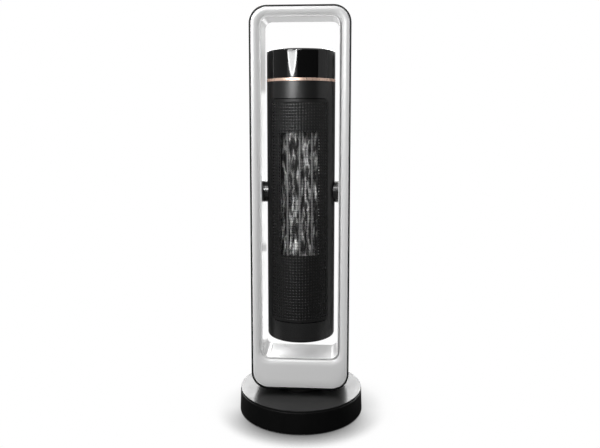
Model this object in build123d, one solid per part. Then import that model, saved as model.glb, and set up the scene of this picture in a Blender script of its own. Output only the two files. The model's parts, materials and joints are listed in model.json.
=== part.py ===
from build123d import *
from math import acos, asin, atan2, cos, degrees, pi, radians, sin, sqrt, tan
import os

# Ceramic fan heater: a black drum that tilts in a tall white frame, on a round swinging base.
# Millimetres. +Z is up, the front of the heater faces -Y, and the origin is the middle of the
# base on the surface that the rubber feet stand on.

# General fits and clearances
overrun = 3.0
running_fit = 0.06
moving_gap = 0.35
panel_gap = 0.4
thrust_gap = 0.2

# Base: a low round pot with a decorative top plate
base_draft = 1.3
base_wall = 3.0
base_top = 41.4
cover_thickness = 3.5
cover_setback = 0.5
cover_edge_radius = 0.8
shell_edge_radius = 1.3
deck_thickness = 3.0
floor_thickness = 3.0
floor_gap = 0.5

# Rubber feet
foot_height = 2.0
foot_radius = 9.0
foot_recess = 1.0
foot_inset = 18.0
foot_count = 5

# Ballast ring that keeps the tall heater upright
ballast_gap = 3.5
ballast_width = 18.0
ballast_thickness = 10.0

# Turntable, its bush and its gear
turntable_overlap = 14.0
turntable_rise = 5.0
hub_bore_radius = 15.0
bush_wall = 3.0
bush_flange_width = 7.0
bush_flange_thickness = 2.0
bush_proud = 0.4
spigot_radius = 16.0
spigot_bore_radius = 9.0
spigot_height = 12.0

# Swing drive: a geared motor turns the turntable through a pinion
gear_module = 1.25
gear_teeth = 48
gear_ring_width = 6.0
pinion_teeth = 16
gear_thickness = 6.5
addendum_share = 0.8
dedendum_share = 1.1
tooth_width_share = 0.45
pressure_angle = 20.0
pinion_hub_radius = 5.0
pinion_hub_height = 1.5
swing_motor_radius = 24.5
swing_motor_gap = 1.0
swing_shaft_radius = 3.0
swing_lug_width = 9.0
swing_lug_reach = 6.0
swing_lug_thickness = 1.5

# Tip-over switch: a plunger that the floor holds in
tip_switch_x = 50.0
tip_switch_y = 34.0
plunger_radius = 5.0
plunger_height = 9.0
plunger_stem_radius = 2.4
plunger_stem_length = 9.0
tip_switch_wall = 1.6
tip_switch_body_height = 16.0
spring_wire_radius = 0.35
spring_coil_radius = 3.6
spring_turns = 5

# Cord entry at the back of the base
cord_bore_radius = 3.5
gland_radius = 7.0
gland_collar_radius = 9.5
gland_collar_thickness = 3.0
gland_depth = 13.0
gland_height_share = 0.5

# Power rocker beside the cord entry
rocker_angle = -34.0
rocker_swing = 20.0
rocker_width = 10.0
rocker_half_height = 7.0
rocker_face_reach = 3.4
rocker_body_depth = 3.0
rocker_axle_radius = 1.4
rocker_axle_reach = 1.2
rocker_bezel = 1.8
rocker_housing_depth = 16.0

# Frame: a tall rounded loop with a black band outside and a white liner inside
frame_depth = 71.0
frame_corner_radius = 30.0
handle_height = 53.8
top_bar_width = 19.4
bottom_bar_height = 58.6
opening_corner_radius = 13.0
band_thickness = 2.2
band_setback = 0.6
band_edge_radius = 0.5
frame_wall = 2.4
face_outer_radius = 1.6
face_inner_radius = 5.0
liner_wall = 1.6
liner_setback = 1.4
liner_lip_radius = 0.7
seam_width = 0.5
seam_depth = 4.0

# Posts and screws that hold the two frame shells together
frame_post_radius = 3.0
frame_post_bite = 0.4
frame_screw_radius = 1.2
frame_screw_head_radius = 2.2
frame_screw_head_height = 1.6
frame_screw_places_share = [0.12, 0.32, 0.66, 0.9]

# Steel bracket in the foot of the frame
bracket_width = 106.0
bracket_depth = 52.0
bracket_thickness = 2.5
bracket_corner_radius = 8.0
bracket_screw_inset = 3.0
bracket_screw_radius = 2.0
bracket_screw_head_radius = 3.8
bracket_screw_head_height = 2.2
bracket_screw_count = 4

# Drum
drum_radius = 59.3
drum_clearance = 35.2
drum_side_gap = 6.7
drum_head = 55.0
drum_wall = 2.2
bottom_cap_height = 5.0
bottom_cap_edge_radius = 4.0
spigot_ring_height = 7.0
spigot_ring_wall = 2.0
top_cap_height = 48.2
top_cap_edge_radius = 3.4
accent_height = 4.6
accent_proud = 0.25

# Tilt pivots
pivot_above_middle = 6.4
pivot_disc_radius = 19.0
pivot_flange_thickness = 2.0
pivot_spigot_radius = 12.0
pivot_spigot_length = 5.0
axle_radius = 9.0
axle_bore_radius = 6.0
axle_reach = 5.5
pivot_nut_radius = 13.0
pivot_nut_thickness = 3.0

# Front grille: a curved panel with rounded corners let into the front shell
grille_half_angle = 54.9
grille_rise = 34.8
grille_head = 28.8
grille_corner_radius = 8.0
grille_thickness = 2.2
grille_setback = 0.4
grille_flange = 2.5
grille_flange_thickness = 1.2
grille_slot_width = 2.6
grille_slot_height = 17.0
grille_slot_columns = 13
grille_slot_rows = 17
grille_margin = 7.0

# Intake cover and dust filter at the back of the drum
intake_half_angle = 45.1
intake_lap = 6.0
intake_corner_radius = 8.0
intake_ledge = 3.0
intake_recess = 1.15
intake_inner_depth = 2.1
intake_slot_height = 3.4
intake_slot_pitch = 7.2
intake_border = 7.0
intake_rib_width = 4.0
filter_thickness = 1.2

# Blower: a tall cross-flow wheel between two plates
plate_thickness = 2.5
plate_lug_width = 12.0
wheel_front_gap = 10.0
wheel_back_gap = 10.85
wheel_end_gap = 3.0
wheel_disc_thickness = 2.0
wheel_disc_count = 4
blade_count = 24
blade_thickness = 0.9
blade_depth = 7.0
blade_bow = 1.6
shaft_radius = 2.5
shaft_bore_depth = 12.0
blower_motor_radius = 25.0
blower_motor_height = 34.0
blower_motor_gap = 18.9
blower_motor_collar_radius = 8.0
bearing_radius = 7.0
bearing_height = 6.0
scroll_gap = 6.0
scroll_sheet = 1.2
scroll_start_angle = 108.0
tongue_inset = 5.0
tongue_reach = 12.0

# Heater block
heater_width = 68.0
heater_rise = 36.5
heater_height = 217.0
heater_depth = 14.0
heater_head = 33.0
heater_corner_gap = 3.0
heater_border = 4.5
heater_wall = 1.0
fin_thickness = 0.35
fin_pitch = 3.3
fin_fold_share = 0.24
ptc_bar_width = 3.2
ptc_bar_count = 3
ptc_side_bay_share = 0.625
tooth_size = 1.6
tooth_pitch = 4.2
terminal_width = 6.3
terminal_length = 16.0
terminal_thickness = 0.8
cutout_radius = 8.0
cutout_height = 7.0

# Boards, keys and display
power_board_rise = 39.8
power_board_inset = 13.1
board_thickness = 1.6
relay_width = 15.0
relay_depth = 20.0
relay_height = 16.0
relay_count = 2
relay_pitch_share = 1.5
control_board_drop = 12.0
control_board_inset = 9.1
board_post_radius = 2.5
board_post_inset = 5.0
board_post_count = 3
key_radius = 6.4
key_gap = 5.2
key_inset = 17.5
key_travel = 0.8
key_proud = 0.9
key_flange_width = 1.5
key_flange_thickness = 1.4
key_stem_radius = 1.8
key_names = ["power_key", "mode_key", "swing_key", "timer_key"]
tact_size = 6.0
tact_height = 3.6
tact_button_radius = 1.7
tact_button_height = 1.2
lens_width = 46.0
lens_depth = 20.0
lens_y = 12.0
lens_corner_radius = 4.0
lens_thickness = 1.6
lens_proud = 0.15

# Screws of the base and the drum
base_screw_radius = 1.8
base_screw_head_radius = 3.6
base_screw_head_height = 1.8
base_screw_length = 14.0
base_screw_count = 4
base_screw_inset = 14.6
base_post_gap = 5.5
base_post_radius = 4.5
drum_screw_radius = 1.5
drum_screw_head_radius = 3.0
drum_screw_head_height = 1.3
drum_screw_length = 8.0
drum_screw_offset_angle = 18.9

# Wiring
lead_radius = 1.8
lead_rise = 22.0
lead_bend_radius = 10.0
lead_turn_radius = 2.6

# Sizes worked out from the ones above: the base
base_shell_low = foot_height
floor_top = base_shell_low + floor_thickness
cover_low = base_top - cover_thickness
deck_low = cover_low - deck_thickness
base_screw_seat = base_shell_low + base_screw_head_height
gear_radius = gear_module * gear_teeth / 2
pinion_radius = gear_module * pinion_teeth / 2
pinion_y = -(gear_radius + pinion_radius)
hub_radius = gear_radius - gear_ring_width
turntable_radius = hub_radius + turntable_overlap
bracket_screw_circle = hub_radius + bracket_screw_inset
bush_outer_radius = hub_radius + running_fit + bush_wall
bush_top = base_top + bush_proud
bush_flange_low = deck_low - bush_flange_thickness
turntable_low = bush_top + thrust_gap
gear_top = bush_flange_low - 2 * thrust_gap
gear_low = gear_top - gear_thickness
pinion_hub_low = gear_low - pinion_hub_height
swing_motor_top = pinion_hub_low - swing_motor_gap
ballast_inner_radius = swing_motor_radius + ballast_gap - pinion_y
ballast_outer_radius = ballast_inner_radius + ballast_width
base_screw_circle = ballast_outer_radius + base_post_gap + base_post_radius
base_radius = base_screw_circle + base_screw_inset
top_radius = base_radius - base_draft
gland_z = foot_height + gland_height_share * (base_top - foot_height)
gland_outer_y = top_radius

# Widths and depths of the drum and the frame
drum_inner_radius = drum_radius - drum_wall
spigot_ring_radius = drum_inner_radius - running_fit
grille_width = 2 * drum_radius * sin(radians(grille_half_angle))
intake_width = 2 * drum_radius * sin(radians(intake_half_angle))
filter_inner_radius = drum_radius - intake_recess - intake_inner_depth - filter_thickness
heater_frame_width = heater_width + 2 * heater_border
heater_corner_radius = drum_inner_radius - heater_corner_gap
heater_front_y = -sqrt(heater_corner_radius ** 2 - (heater_frame_width / 2) ** 2)
heater_back_y = heater_front_y + heater_depth
wheel_radius = (filter_inner_radius - wheel_back_gap - heater_back_y - wheel_front_gap) / 2
wheel_centre_y = heater_back_y + wheel_front_gap + wheel_radius
scroll_radius = wheel_radius + scroll_gap
power_board_radius = drum_inner_radius - power_board_inset
control_board_radius = drum_inner_radius - control_board_inset
opening_width = 2 * (drum_radius + drum_side_gap)
flange_inner_x = opening_width / 2 - pivot_flange_thickness
trunnion_outer_x = flange_inner_x - moving_gap
axle_end_x = opening_width / 2 + axle_reach
lead_x = axle_end_x + moving_gap + lead_radius
frame_post_x = lead_x + lead_radius + moving_gap + frame_post_radius
shell_width = 2 * (frame_post_x + frame_post_radius - frame_post_bite + frame_wall)
frame_width = shell_width + 2 * band_thickness
face_y = frame_depth / 2
liner_width = opening_width + 2 * liner_wall

# Heights, from the frame's foot up through the drum to the top of the frame
frame_low = base_top + turntable_rise
shell_low = frame_low + band_thickness
opening_low = frame_low + bottom_bar_height
liner_low = opening_low - liner_wall
drum_low = opening_low + drum_clearance
bottom_cap_top = drum_low + bottom_cap_height
power_board_z = drum_low + power_board_rise
blower_motor_low = power_board_z + board_thickness + relay_height + blower_motor_gap
lower_plate_z = blower_motor_low + blower_motor_height
heater_low = lower_plate_z + heater_rise
heater_high = heater_low + heater_height
upper_plate_z = heater_high + heater_head
intake_low = lower_plate_z - intake_lap
intake_high = upper_plate_z + plate_thickness + intake_lap
wheel_low = lower_plate_z + plate_thickness + wheel_end_gap
wheel_high = upper_plate_z - wheel_end_gap
cap_low = upper_plate_z + drum_head
accent_low = cap_low - accent_height
drum_high = cap_low + top_cap_height
pivot_z = (drum_low + drum_high) / 2 + pivot_above_middle
grille_low = drum_low + grille_rise
grille_high = accent_low - grille_head
control_board_top = drum_high - drum_wall - control_board_drop
opening_high = drum_high + handle_height
liner_high = opening_high + liner_wall
frame_high = opening_high + top_bar_width
shell_high = frame_high - band_thickness


def tube(outer, inner, low, high):
    """An upright tube about Z."""
    height = high - low
    middle = Pos(0, 0, (low + high) / 2)
    return middle * Cylinder(outer, height) - middle * Cylinder(inner, height + 2 * overrun)


def disc(radius, low, high):
    """An upright cylinder about Z."""
    return Pos(0, 0, (low + high) / 2) * Cylinder(radius, high - low)


def block(x_low, x_high, y_low, y_high, z_low, z_high):
    """A box given by its faces."""
    centre = Pos((x_low + x_high) / 2, (y_low + y_high) / 2, (z_low + z_high) / 2)
    return centre * Box(x_high - x_low, y_high - y_low, z_high - z_low)


def loop_block(width, low, high, radius, front, back):
    """A rounded rectangle seen from the front, as deep as from front to back."""
    outline = Pos(0, (low + high) / 2) * RectangleRounded(width, high - low, radius)
    return extrude(Plane.XZ.offset(-back) * outline, back - front)


def cross_rod(radius, x_low, x_high, z):
    """A cylinder along X at y = 0."""
    return Pos((x_low + x_high) / 2, 0, z) * Rot(0, 90, 0) * Cylinder(radius, x_high - x_low)


def deep_rod(radius, x, y_low, y_high, z):
    """A cylinder along Y."""
    return Pos(x, (y_low + y_high) / 2, z) * Rot(90, 0, 0) * Cylinder(radius, y_high - y_low)


def around(radius, count, first=0.0):
    """Places evenly spaced on a circle about Z, each turned to face outwards."""
    return [Rot(0, 0, first + 360 * i / count) * Pos(radius, 0, 0) for i in range(count)]


def joined(shapes):
    """One body from shapes that meet."""
    first, *others = shapes
    return first.fuse(*others) if others else first


def screw(shank_radius, head_radius, head_height, length):
    """A pan-head screw along -Z with a cross slot; its head seats at z = 0."""
    head = Pos(0, 0, head_height / 2) * Cylinder(head_radius, head_height)
    head = fillet(head.edges().group_by(Axis.Z)[-1], head_height / 3)
    shank = Pos(0, 0, -length / 2) * Cylinder(shank_radius, length)
    slot = Pos(0, 0, head_height) * Box(head_radius, shank_radius / 2, head_height)
    return head + shank - slot - Rot(0, 0, 90) * slot


# Base

def base_shell():
    """Drafted side wall and deck, moulded in one, with screw posts under the deck."""
    height = cover_low - base_shell_low
    wall_share = (cover_low - base_shell_low) / (base_top - base_shell_low)
    upper = base_radius - base_draft * wall_share
    body = Pos(0, 0, base_shell_low + height / 2) * Cone(base_radius, upper, height)
    body = fillet(body.edges().group_by(Axis.Z)[-1], shell_edge_radius)
    hollow_height = deck_low - base_shell_low
    hollow = Pos(0, 0, base_shell_low + hollow_height / 2) * Cone(
        base_radius - base_wall, upper - base_wall, hollow_height
    )
    body -= hollow
    body -= disc(bush_outer_radius, deck_low - overrun, cover_low + overrun)
    post = Pos(0, 0, (floor_top + deck_low) / 2) * Cylinder(base_post_radius, deck_low - floor_top)
    hole = disc(base_screw_radius, floor_top - overrun, base_screw_seat + base_screw_length)
    for place in floor_screw_places():
        body += place * post
        body -= place * hole
    body -= deep_rod(gland_radius, 0, gland_outer_y - gland_depth, base_radius + overrun, gland_z)
    return body - rocker_pocket()


def rocker_turn():
    """The rocker is turned about Z from the back of the base."""
    return Rot(0, 0, rocker_angle)


def rocker_outer():
    """The outside of the rocker housing, before its turn about Z."""
    half_width = rocker_width / 2 + moving_gap + rocker_bezel
    half_height = rocker_reach() + moving_gap + rocker_bezel
    back = rocker_face_y() - rocker_housing_depth
    low = gland_z - half_height
    return block(-half_width, half_width, back, rocker_face_y(), low, gland_z + half_height)


def rocker_face_y():
    """The bezel's face stays just inside the curve of the base wall."""
    half_width = rocker_width / 2 + moving_gap + rocker_bezel
    return sqrt(top_radius ** 2 - half_width ** 2)


def rocker_reach():
    """The furthest that any corner of the rocker comes from its axis."""
    return sqrt(rocker_half_height ** 2 + rocker_face_reach ** 2)


def rocker_axis_y():
    """The rocker turns about a line just behind the bezel's face."""
    return rocker_face_y() - rocker_face_reach


def rocker_pocket():
    """The cut in the wall of the base: the housing's own space, and the way out past its face."""
    housing = rocker_outer()
    return rocker_turn() * (housing + Pos(0, base_draft + overrun, 0) * housing)


def rocker_housing():
    """A moulded box with an open face, and a bearing hole in each side."""
    half_width = rocker_width / 2 + moving_gap
    half_height = rocker_reach() + moving_gap
    body = rocker_outer()
    floor_y = rocker_axis_y() - rocker_reach() - moving_gap
    body -= block(
        -half_width, half_width, floor_y, base_radius, gland_z - half_height, gland_z + half_height
    )
    reach = half_width + rocker_axle_reach + moving_gap
    body -= Pos(0, rocker_axis_y(), 0) * cross_rod(
        rocker_axle_radius + running_fit, -reach, reach, gland_z
    )
    return rocker_turn() * body


def power_rocker():
    """A two-faced rocker, tipped to its off side."""
    half = rocker_half_height
    with BuildSketch(Plane.YZ) as outline:
        with BuildLine():
            Polyline(
                (-rocker_body_depth, -half),
                (rocker_face_reach, -half),
                (rocker_face_reach - rocker_axle_radius, 0),
                (rocker_face_reach, half),
                (-rocker_body_depth, half),
                close=True,
            )
        make_face()
    body = extrude(outline.sketch, rocker_width / 2, both=True)
    reach = rocker_width / 2 + moving_gap + rocker_axle_reach
    body += cross_rod(rocker_axle_radius, -reach, reach, 0)
    tipped = Pos(0, rocker_axis_y(), gland_z) * Rot(rocker_swing / 2, 0, 0) * body
    return rocker_turn() * tipped


def base_cover():
    """The decorative top plate, a little smaller than the wall below it."""
    body = disc(top_radius - cover_setback, cover_low, base_top)
    body = fillet(body.edges().group_by(Axis.Z)[-1], cover_edge_radius)
    return body - disc(bush_outer_radius, cover_low - overrun, base_top + overrun)


def floor_screw_places():
    """The screws of the base, on the circle of its posts."""
    return around(base_screw_circle, base_screw_count, 45.0)


def base_floor_plate():
    """The plate that closes the base from below, with seats for feet and screws."""
    radius = base_radius - base_wall - floor_gap
    body = disc(radius, base_shell_low, floor_top)
    foot_circle = base_radius - foot_inset
    for place in around(foot_circle, foot_count, -90.0):
        body -= place * disc(foot_radius, base_shell_low - overrun, base_shell_low + foot_recess)
    for place in floor_screw_places():
        body -= place * disc(base_screw_head_radius, base_shell_low - overrun, base_screw_seat)
        body -= place * disc(base_screw_radius, base_screw_seat - overrun, floor_top + overrun)
    hole = disc(plunger_radius + moving_gap, base_shell_low - overrun, floor_top + overrun)
    return body - Pos(tip_switch_x, tip_switch_y, 0) * hole


def rubber_feet():
    """Round rubber pads let into the floor plate."""
    foot = disc(foot_radius, 0, foot_height + foot_recess)
    foot = fillet(foot.edges().group_by(Axis.Z)[0], foot_recess / 2)
    return Compound([place * foot for place in around(base_radius - foot_inset, foot_count, -90.0)])


def base_screws():
    """Screws that go up through the floor plate into the posts of the shell."""
    one = screw(base_screw_radius, base_screw_head_radius, base_screw_head_height, base_screw_length)
    seat = Pos(0, 0, base_screw_seat) * Rot(180, 0, 0)
    return Compound([place * seat * one for place in floor_screw_places()])


def ballast_ring():
    """A flat cast-iron ring on the floor plate."""
    body = tube(ballast_outer_radius, ballast_inner_radius, floor_top, floor_top + ballast_thickness)
    return body - Pos(tip_switch_x, tip_switch_y, 0) * tip_switch_outer()


def turntable_bearing():
    """A slippery bush with a thrust lip on top and a wide flange under the deck."""
    bore = hub_radius + running_fit
    sleeve = tube(bush_outer_radius, bore, bush_flange_low, bush_top)
    flange = tube(bush_outer_radius + bush_flange_width, bore, bush_flange_low, deck_low)
    return sleeve + flange


def swing_motor():
    """A flat geared motor that stands on the floor plate under the pinion."""
    centre = Pos(0, pinion_y, 0)
    body = disc(swing_motor_radius, floor_top, swing_motor_top)
    body = fillet(body.edges().group_by(Axis.Z)[-1], swing_motor_gap)
    lug_low = floor_top
    lug_high = floor_top + swing_lug_thickness
    reach = swing_motor_radius + swing_lug_reach
    lug = block(-reach, reach, -swing_lug_width / 2, swing_lug_width / 2, lug_low, lug_high)
    shaft = disc(swing_shaft_radius, swing_motor_top - swing_motor_gap, gear_top)
    hole = disc(base_screw_radius, lug_low - overrun, lug_high + overrun)
    body = body + lug + shaft
    for side in (-1, 1):
        body -= Pos(side * (reach - swing_lug_width / 2), 0, 0) * hole
    return centre * body


def tip_switch_outer():
    """The outside of the tip-over switch, on its own axis."""
    half = plunger_radius + moving_gap + tip_switch_wall
    return block(-half, half, -half, half, floor_top, floor_top + tip_switch_body_height)


def tip_switch_housing():
    """A square body with a bore for the plunger and its spring."""
    body = tip_switch_outer()
    roof = floor_top + tip_switch_body_height - tip_switch_wall
    body -= disc(plunger_radius + moving_gap, floor_top - overrun, roof)
    body -= disc(plunger_stem_radius + moving_gap, roof - overrun, roof + overrun)
    return Pos(tip_switch_x, tip_switch_y, 0) * body


def tip_switch_plunger():
    """A round foot with a thin stem that works the contacts."""
    foot = disc(plunger_radius, 0, plunger_height)
    foot = fillet(foot.edges().group_by(Axis.Z)[0], spring_wire_radius)
    stem = disc(plunger_stem_radius, plunger_height - overrun, plunger_height + plunger_stem_length)
    return Pos(tip_switch_x, tip_switch_y, 0) * (foot + stem)


def tip_switch_spring():
    """A small wire spring between the plunger's shoulder and the housing's roof."""
    roof = floor_top + tip_switch_body_height - tip_switch_wall
    low = plunger_height + spring_wire_radius + moving_gap / 2
    height = roof - spring_wire_radius - moving_gap / 2 - low
    path = Helix(height / spring_turns, height, spring_coil_radius)
    start = Plane(path @ 0, z_dir=path % 0)
    wire = sweep(start * Circle(spring_wire_radius), path=path)
    return Pos(tip_switch_x, tip_switch_y, low) * wire


def cord_gland():
    """A moulded sleeve in the wall, with a collar inside and a bore for the mains lead."""
    inner_y = gland_outer_y - gland_depth
    collar_back = sqrt((top_radius - base_wall) ** 2 - gland_collar_radius ** 2) - panel_gap
    body = deep_rod(gland_radius, 0, inner_y, gland_outer_y, gland_z)
    body += deep_rod(gland_collar_radius, 0, collar_back - gland_collar_thickness, collar_back, gland_z)
    return body - deep_rod(cord_bore_radius, 0, inner_y - overrun, gland_outer_y + overrun, gland_z)


# Swing gears

def gear_face(teeth, turn):
    """A spur gear's outline: each flank is one arc through three points of its involute."""
    pitch = gear_module * teeth / 2
    tip = pitch + addendum_share * gear_module
    root = pitch - dedendum_share * gear_module
    base_circle = pitch * cos(radians(pressure_angle))
    half_tooth = tooth_width_share * pi / teeth
    involute = tan(radians(pressure_angle)) - radians(pressure_angle)

    def flank(radius, side):
        angle = acos(base_circle / radius) if radius > base_circle else 0.0
        offset = half_tooth + involute - (tan(angle) - angle)
        return radius, side * offset

    def at(middle, polar):
        radius, offset = polar
        return radius * cos(middle + offset), radius * sin(middle + offset)

    low = max(base_circle, root)
    middle_radius = (low + tip) / 2
    edges = []
    for i in range(teeth):
        middle = radians(turn) + 2 * pi * i / teeth
        following = middle + 2 * pi / teeth
        foot_left = at(middle, (root, flank(low, -1)[1]))
        foot_right = at(middle, (root, flank(low, 1)[1]))
        foot_next = at(following, (root, flank(low, -1)[1]))
        rise = [at(middle, flank(r, -1)) for r in (low, middle_radius, tip)]
        fall = [at(middle, flank(r, 1)) for r in (tip, middle_radius, low)]
        if low > root:
            edges.append(Line(foot_left, rise[0]))
        edges.append(ThreePointArc(*rise))
        edges.append(ThreePointArc(rise[-1], at(middle, (tip, 0)), fall[0]))
        edges.append(ThreePointArc(*fall))
        if low > root:
            edges.append(Line(fall[-1], foot_right))
        edges.append(ThreePointArc(foot_right, at(middle, (root, pi / teeth)), foot_next))
    return make_face(edges)


def turntable_gear():
    """The toothed ring under the turntable, keyed on the lower end of its hub."""
    ring = extrude(Pos(0, 0, gear_low) * gear_face(gear_teeth, -90.0), gear_thickness)
    return ring - disc(hub_radius, gear_low - overrun, gear_top + overrun)


def swing_pinion():
    """The small gear on the motor's shaft, with a short hub below it."""
    half_space = 180.0 / pinion_teeth
    body = extrude(Pos(0, 0, gear_low) * gear_face(pinion_teeth, 90.0 + half_space), gear_thickness)
    body += disc(pinion_hub_radius, pinion_hub_low, gear_low + pinion_hub_height)
    body -= disc(swing_shaft_radius + running_fit, pinion_hub_low - overrun, gear_top + overrun)
    return Pos(0, pinion_y, 0) * body


def turntable():
    """The black disc under the frame, its hub in the bush and its spigot into the frame."""
    plate = disc(turntable_radius, turntable_low, frame_low)
    hub = disc(hub_radius, gear_low, turntable_low)
    spigot = disc(spigot_radius, frame_low, frame_low + spigot_height)
    body = plate + hub + spigot
    body -= disc(hub_bore_radius, gear_low - overrun, turntable_low)
    body -= disc(spigot_bore_radius, turntable_low - overrun, frame_low + spigot_height + overrun)
    for place in bracket_screw_places():
        body -= place * disc(bracket_screw_radius, turntable_low - overrun, frame_low + overrun)
    return body


# Frame

def bracket_screw_places():
    """Screws on a circle through the bracket into the turntable."""
    return around(bracket_screw_circle, bracket_screw_count, 45.0)


def foot_bracket():
    """A steel plate inside the foot of the frame, clamped down on the outer band."""
    low = frame_low + band_thickness + frame_wall
    outline = RectangleRounded(bracket_width, bracket_depth, bracket_corner_radius)
    body = extrude(Pos(0, 0, low) * outline, bracket_thickness)
    body -= disc(spigot_radius, low - overrun, low + bracket_thickness + overrun)
    for place in bracket_screw_places():
        body -= place * disc(bracket_screw_radius, low - overrun, low + bracket_thickness + overrun)
    return body


def bracket_screws():
    """Screws from the bracket down into the turntable."""
    top = frame_low + band_thickness + frame_wall + bracket_thickness
    length = top - turntable_low
    one = screw(bracket_screw_radius, bracket_screw_head_radius, bracket_screw_head_height, length)
    return Compound([place * Pos(0, 0, top) * one for place in bracket_screw_places()])


def frame_post_places():
    """Post centres in X and Z: up both side bars, and one at each end of the foot."""
    x = frame_post_x
    side = [opening_low + share * (opening_high - opening_low) for share in frame_screw_places_share]
    foot = frame_low + bottom_bar_height / 2
    return [(sign * x, z) for sign in (-1, 1) for z in side + [foot]]


def frame_loop():
    """The front half of the white loop, as a solid bar with rounded face edges."""
    radius = frame_corner_radius - band_thickness
    inner_radius = opening_corner_radius + liner_wall
    body = loop_block(shell_width, shell_low, shell_high, radius, -face_y, 0)
    body -= loop_block(liner_width, liner_low, liner_high, inner_radius, -face_y - overrun, overrun)
    front = body.faces().sort_by(Axis.Y)[0]
    body = fillet(front.outer_wire().edges(), face_outer_radius)
    front = body.faces().sort_by(Axis.Y)[0]
    return fillet(front.inner_wires()[0].edges(), face_inner_radius)


def frame_front_shell():
    """A moulded channel that makes the front of the loop, open at its back."""
    solid = frame_loop()
    wall = frame_wall
    radius = frame_corner_radius - band_thickness - wall
    inner_radius = opening_corner_radius + liner_wall + wall
    width = shell_width - 2 * wall
    inner_width = liner_width + 2 * wall
    channel = loop_block(width, shell_low + wall, shell_high - wall, radius, wall - face_y, overrun)
    channel -= loop_block(
        inner_width, liner_low - wall, liner_high + wall, inner_radius, -face_y, 2 * overrun
    )
    body = solid - channel
    seam = loop_block(
        liner_width + 2 * seam_width,
        liner_low - seam_width,
        liner_high + seam_width,
        opening_corner_radius + liner_wall + seam_width,
        -face_y - overrun,
        seam_depth - face_y,
    )
    body -= seam
    body -= disc(spigot_radius, frame_low - overrun, frame_low + spigot_height)
    for place in bracket_screw_places():
        body -= place * disc(bracket_screw_radius, frame_low, opening_low)
    for side in (-1, 1):
        inner = side * (opening_width / 2)
        outer = inner + side * (pivot_spigot_length + moving_gap)
        body -= cross_rod(pivot_spigot_radius, min(inner, outer), max(inner, outer), pivot_z)
    for x, z in frame_post_places():
        body += deep_rod(frame_post_radius, x, wall / 2 - face_y, 0, z)
        body -= deep_rod(frame_screw_radius, x, wall - face_y, overrun, z)
    return body


def frame_rear_shell():
    """The back of the loop: the front's mirror image, with sunk seats for the screws."""
    body = mirror(frame_front_shell(), Plane.XZ)
    for x, z in frame_post_places():
        body -= deep_rod(frame_screw_radius, x, -overrun, face_y + overrun, z)
        seat = face_y - frame_screw_head_height
        body -= deep_rod(frame_screw_head_radius + moving_gap, x, seat, face_y + overrun, z)
    return body


def opening_liner():
    """The white lining of the opening, with a rounded lip at the front and the back."""
    depth = face_y - liner_setback
    body = loop_block(
        liner_width, liner_low, liner_high, opening_corner_radius + liner_wall, -depth, depth
    )
    body -= loop_block(
        opening_width, opening_low, opening_high, opening_corner_radius, -depth - overrun, depth + overrun
    )
    for index in (0, -1):
        edge = body.faces().sort_by(Axis.Y)[index].inner_wires()[0].edges()
        body = fillet(edge, liner_lip_radius)
    return body - cross_rod(pivot_spigot_radius, -liner_width, liner_width, pivot_z)


def outer_band():
    """The black band round the outside of the loop."""
    depth = face_y - band_setback
    body = loop_block(frame_width, frame_low, frame_high, frame_corner_radius, -depth, depth)
    body -= loop_block(
        shell_width, shell_low, shell_high, frame_corner_radius - band_thickness, -face_y, face_y
    )
    for index in (0, -1):
        edge = body.faces().sort_by(Axis.Y)[index].outer_wire().edges()
        body = fillet(edge, band_edge_radius)
    body -= disc(spigot_radius, frame_low - overrun, frame_low + band_thickness + overrun)
    for place in bracket_screw_places():
        body -= place * disc(bracket_screw_radius, frame_low - overrun, shell_low + overrun)
    return body


def frame_screws():
    """Screws from the back that pull the two shells together."""
    seat = face_y - frame_screw_head_height
    length = face_y + seat - 2 * frame_wall
    one = screw(frame_screw_radius, frame_screw_head_radius, frame_screw_head_height, length)
    turned = Rot(-90, 0, 0) * one
    return Compound([Pos(x, seat, z) * turned for x, z in frame_post_places()])


def pivot_bush(side):
    """A flanged bush in the liner that the drum's axle turns in."""
    flange_low = flange_inner_x
    flange_high = opening_width / 2
    spigot_high = flange_high + pivot_spigot_length
    body = cross_rod(pivot_disc_radius, flange_low, flange_high, pivot_z)
    body += cross_rod(pivot_spigot_radius, flange_high, spigot_high, pivot_z)
    bore = axle_radius + running_fit
    body -= cross_rod(bore, flange_low - overrun, spigot_high + overrun, pivot_z)
    return body if side > 0 else mirror(body, Plane.YZ)


def frame_wiring():
    """The lead from the base, up inside the right bar and in through the axle."""
    points = [
        (0, 0, gear_low),
        (0, 0, frame_low + lead_rise),
        (lead_x, 0, frame_low + lead_rise),
        (lead_x, 0, pivot_z),
        (opening_width / 2 - pivot_flange_thickness, 0, pivot_z),
    ]
    path = FilletPolyline(*points, radius=[lead_bend_radius, lead_bend_radius, lead_turn_radius])
    start = Plane(path @ 0, z_dir=path % 0)
    return sweep(start * Circle(lead_radius), path=path)


# Drum shell

def half_drum(front):
    """One half of the drum's wall, split on the plane of the tilt pivots."""
    body = tube(drum_radius, drum_inner_radius, bottom_cap_top, accent_low)
    reach = drum_radius + overrun
    half = block(-reach, reach, -reach, 0, drum_low, drum_high)
    return body & (half if front else mirror(half, Plane.XZ))


def axle_hole():
    """The cut for the two hollow axles through the drum's wall."""
    return cross_rod(axle_radius, -drum_radius - overrun, drum_radius + overrun, pivot_z)


def grille_outline(inset, front, back):
    """The grille's outline seen from the front, taken in by inset."""
    return loop_block(
        grille_width - 2 * inset,
        grille_low + inset,
        grille_high - inset,
        grille_corner_radius - inset,
        front,
        back,
    )


def drum_front_shell():
    """The front wall, with a window that the grille fills."""
    body = half_drum(True) - axle_hole()
    return body - grille_outline(0, -drum_radius - overrun, 0)


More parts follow.
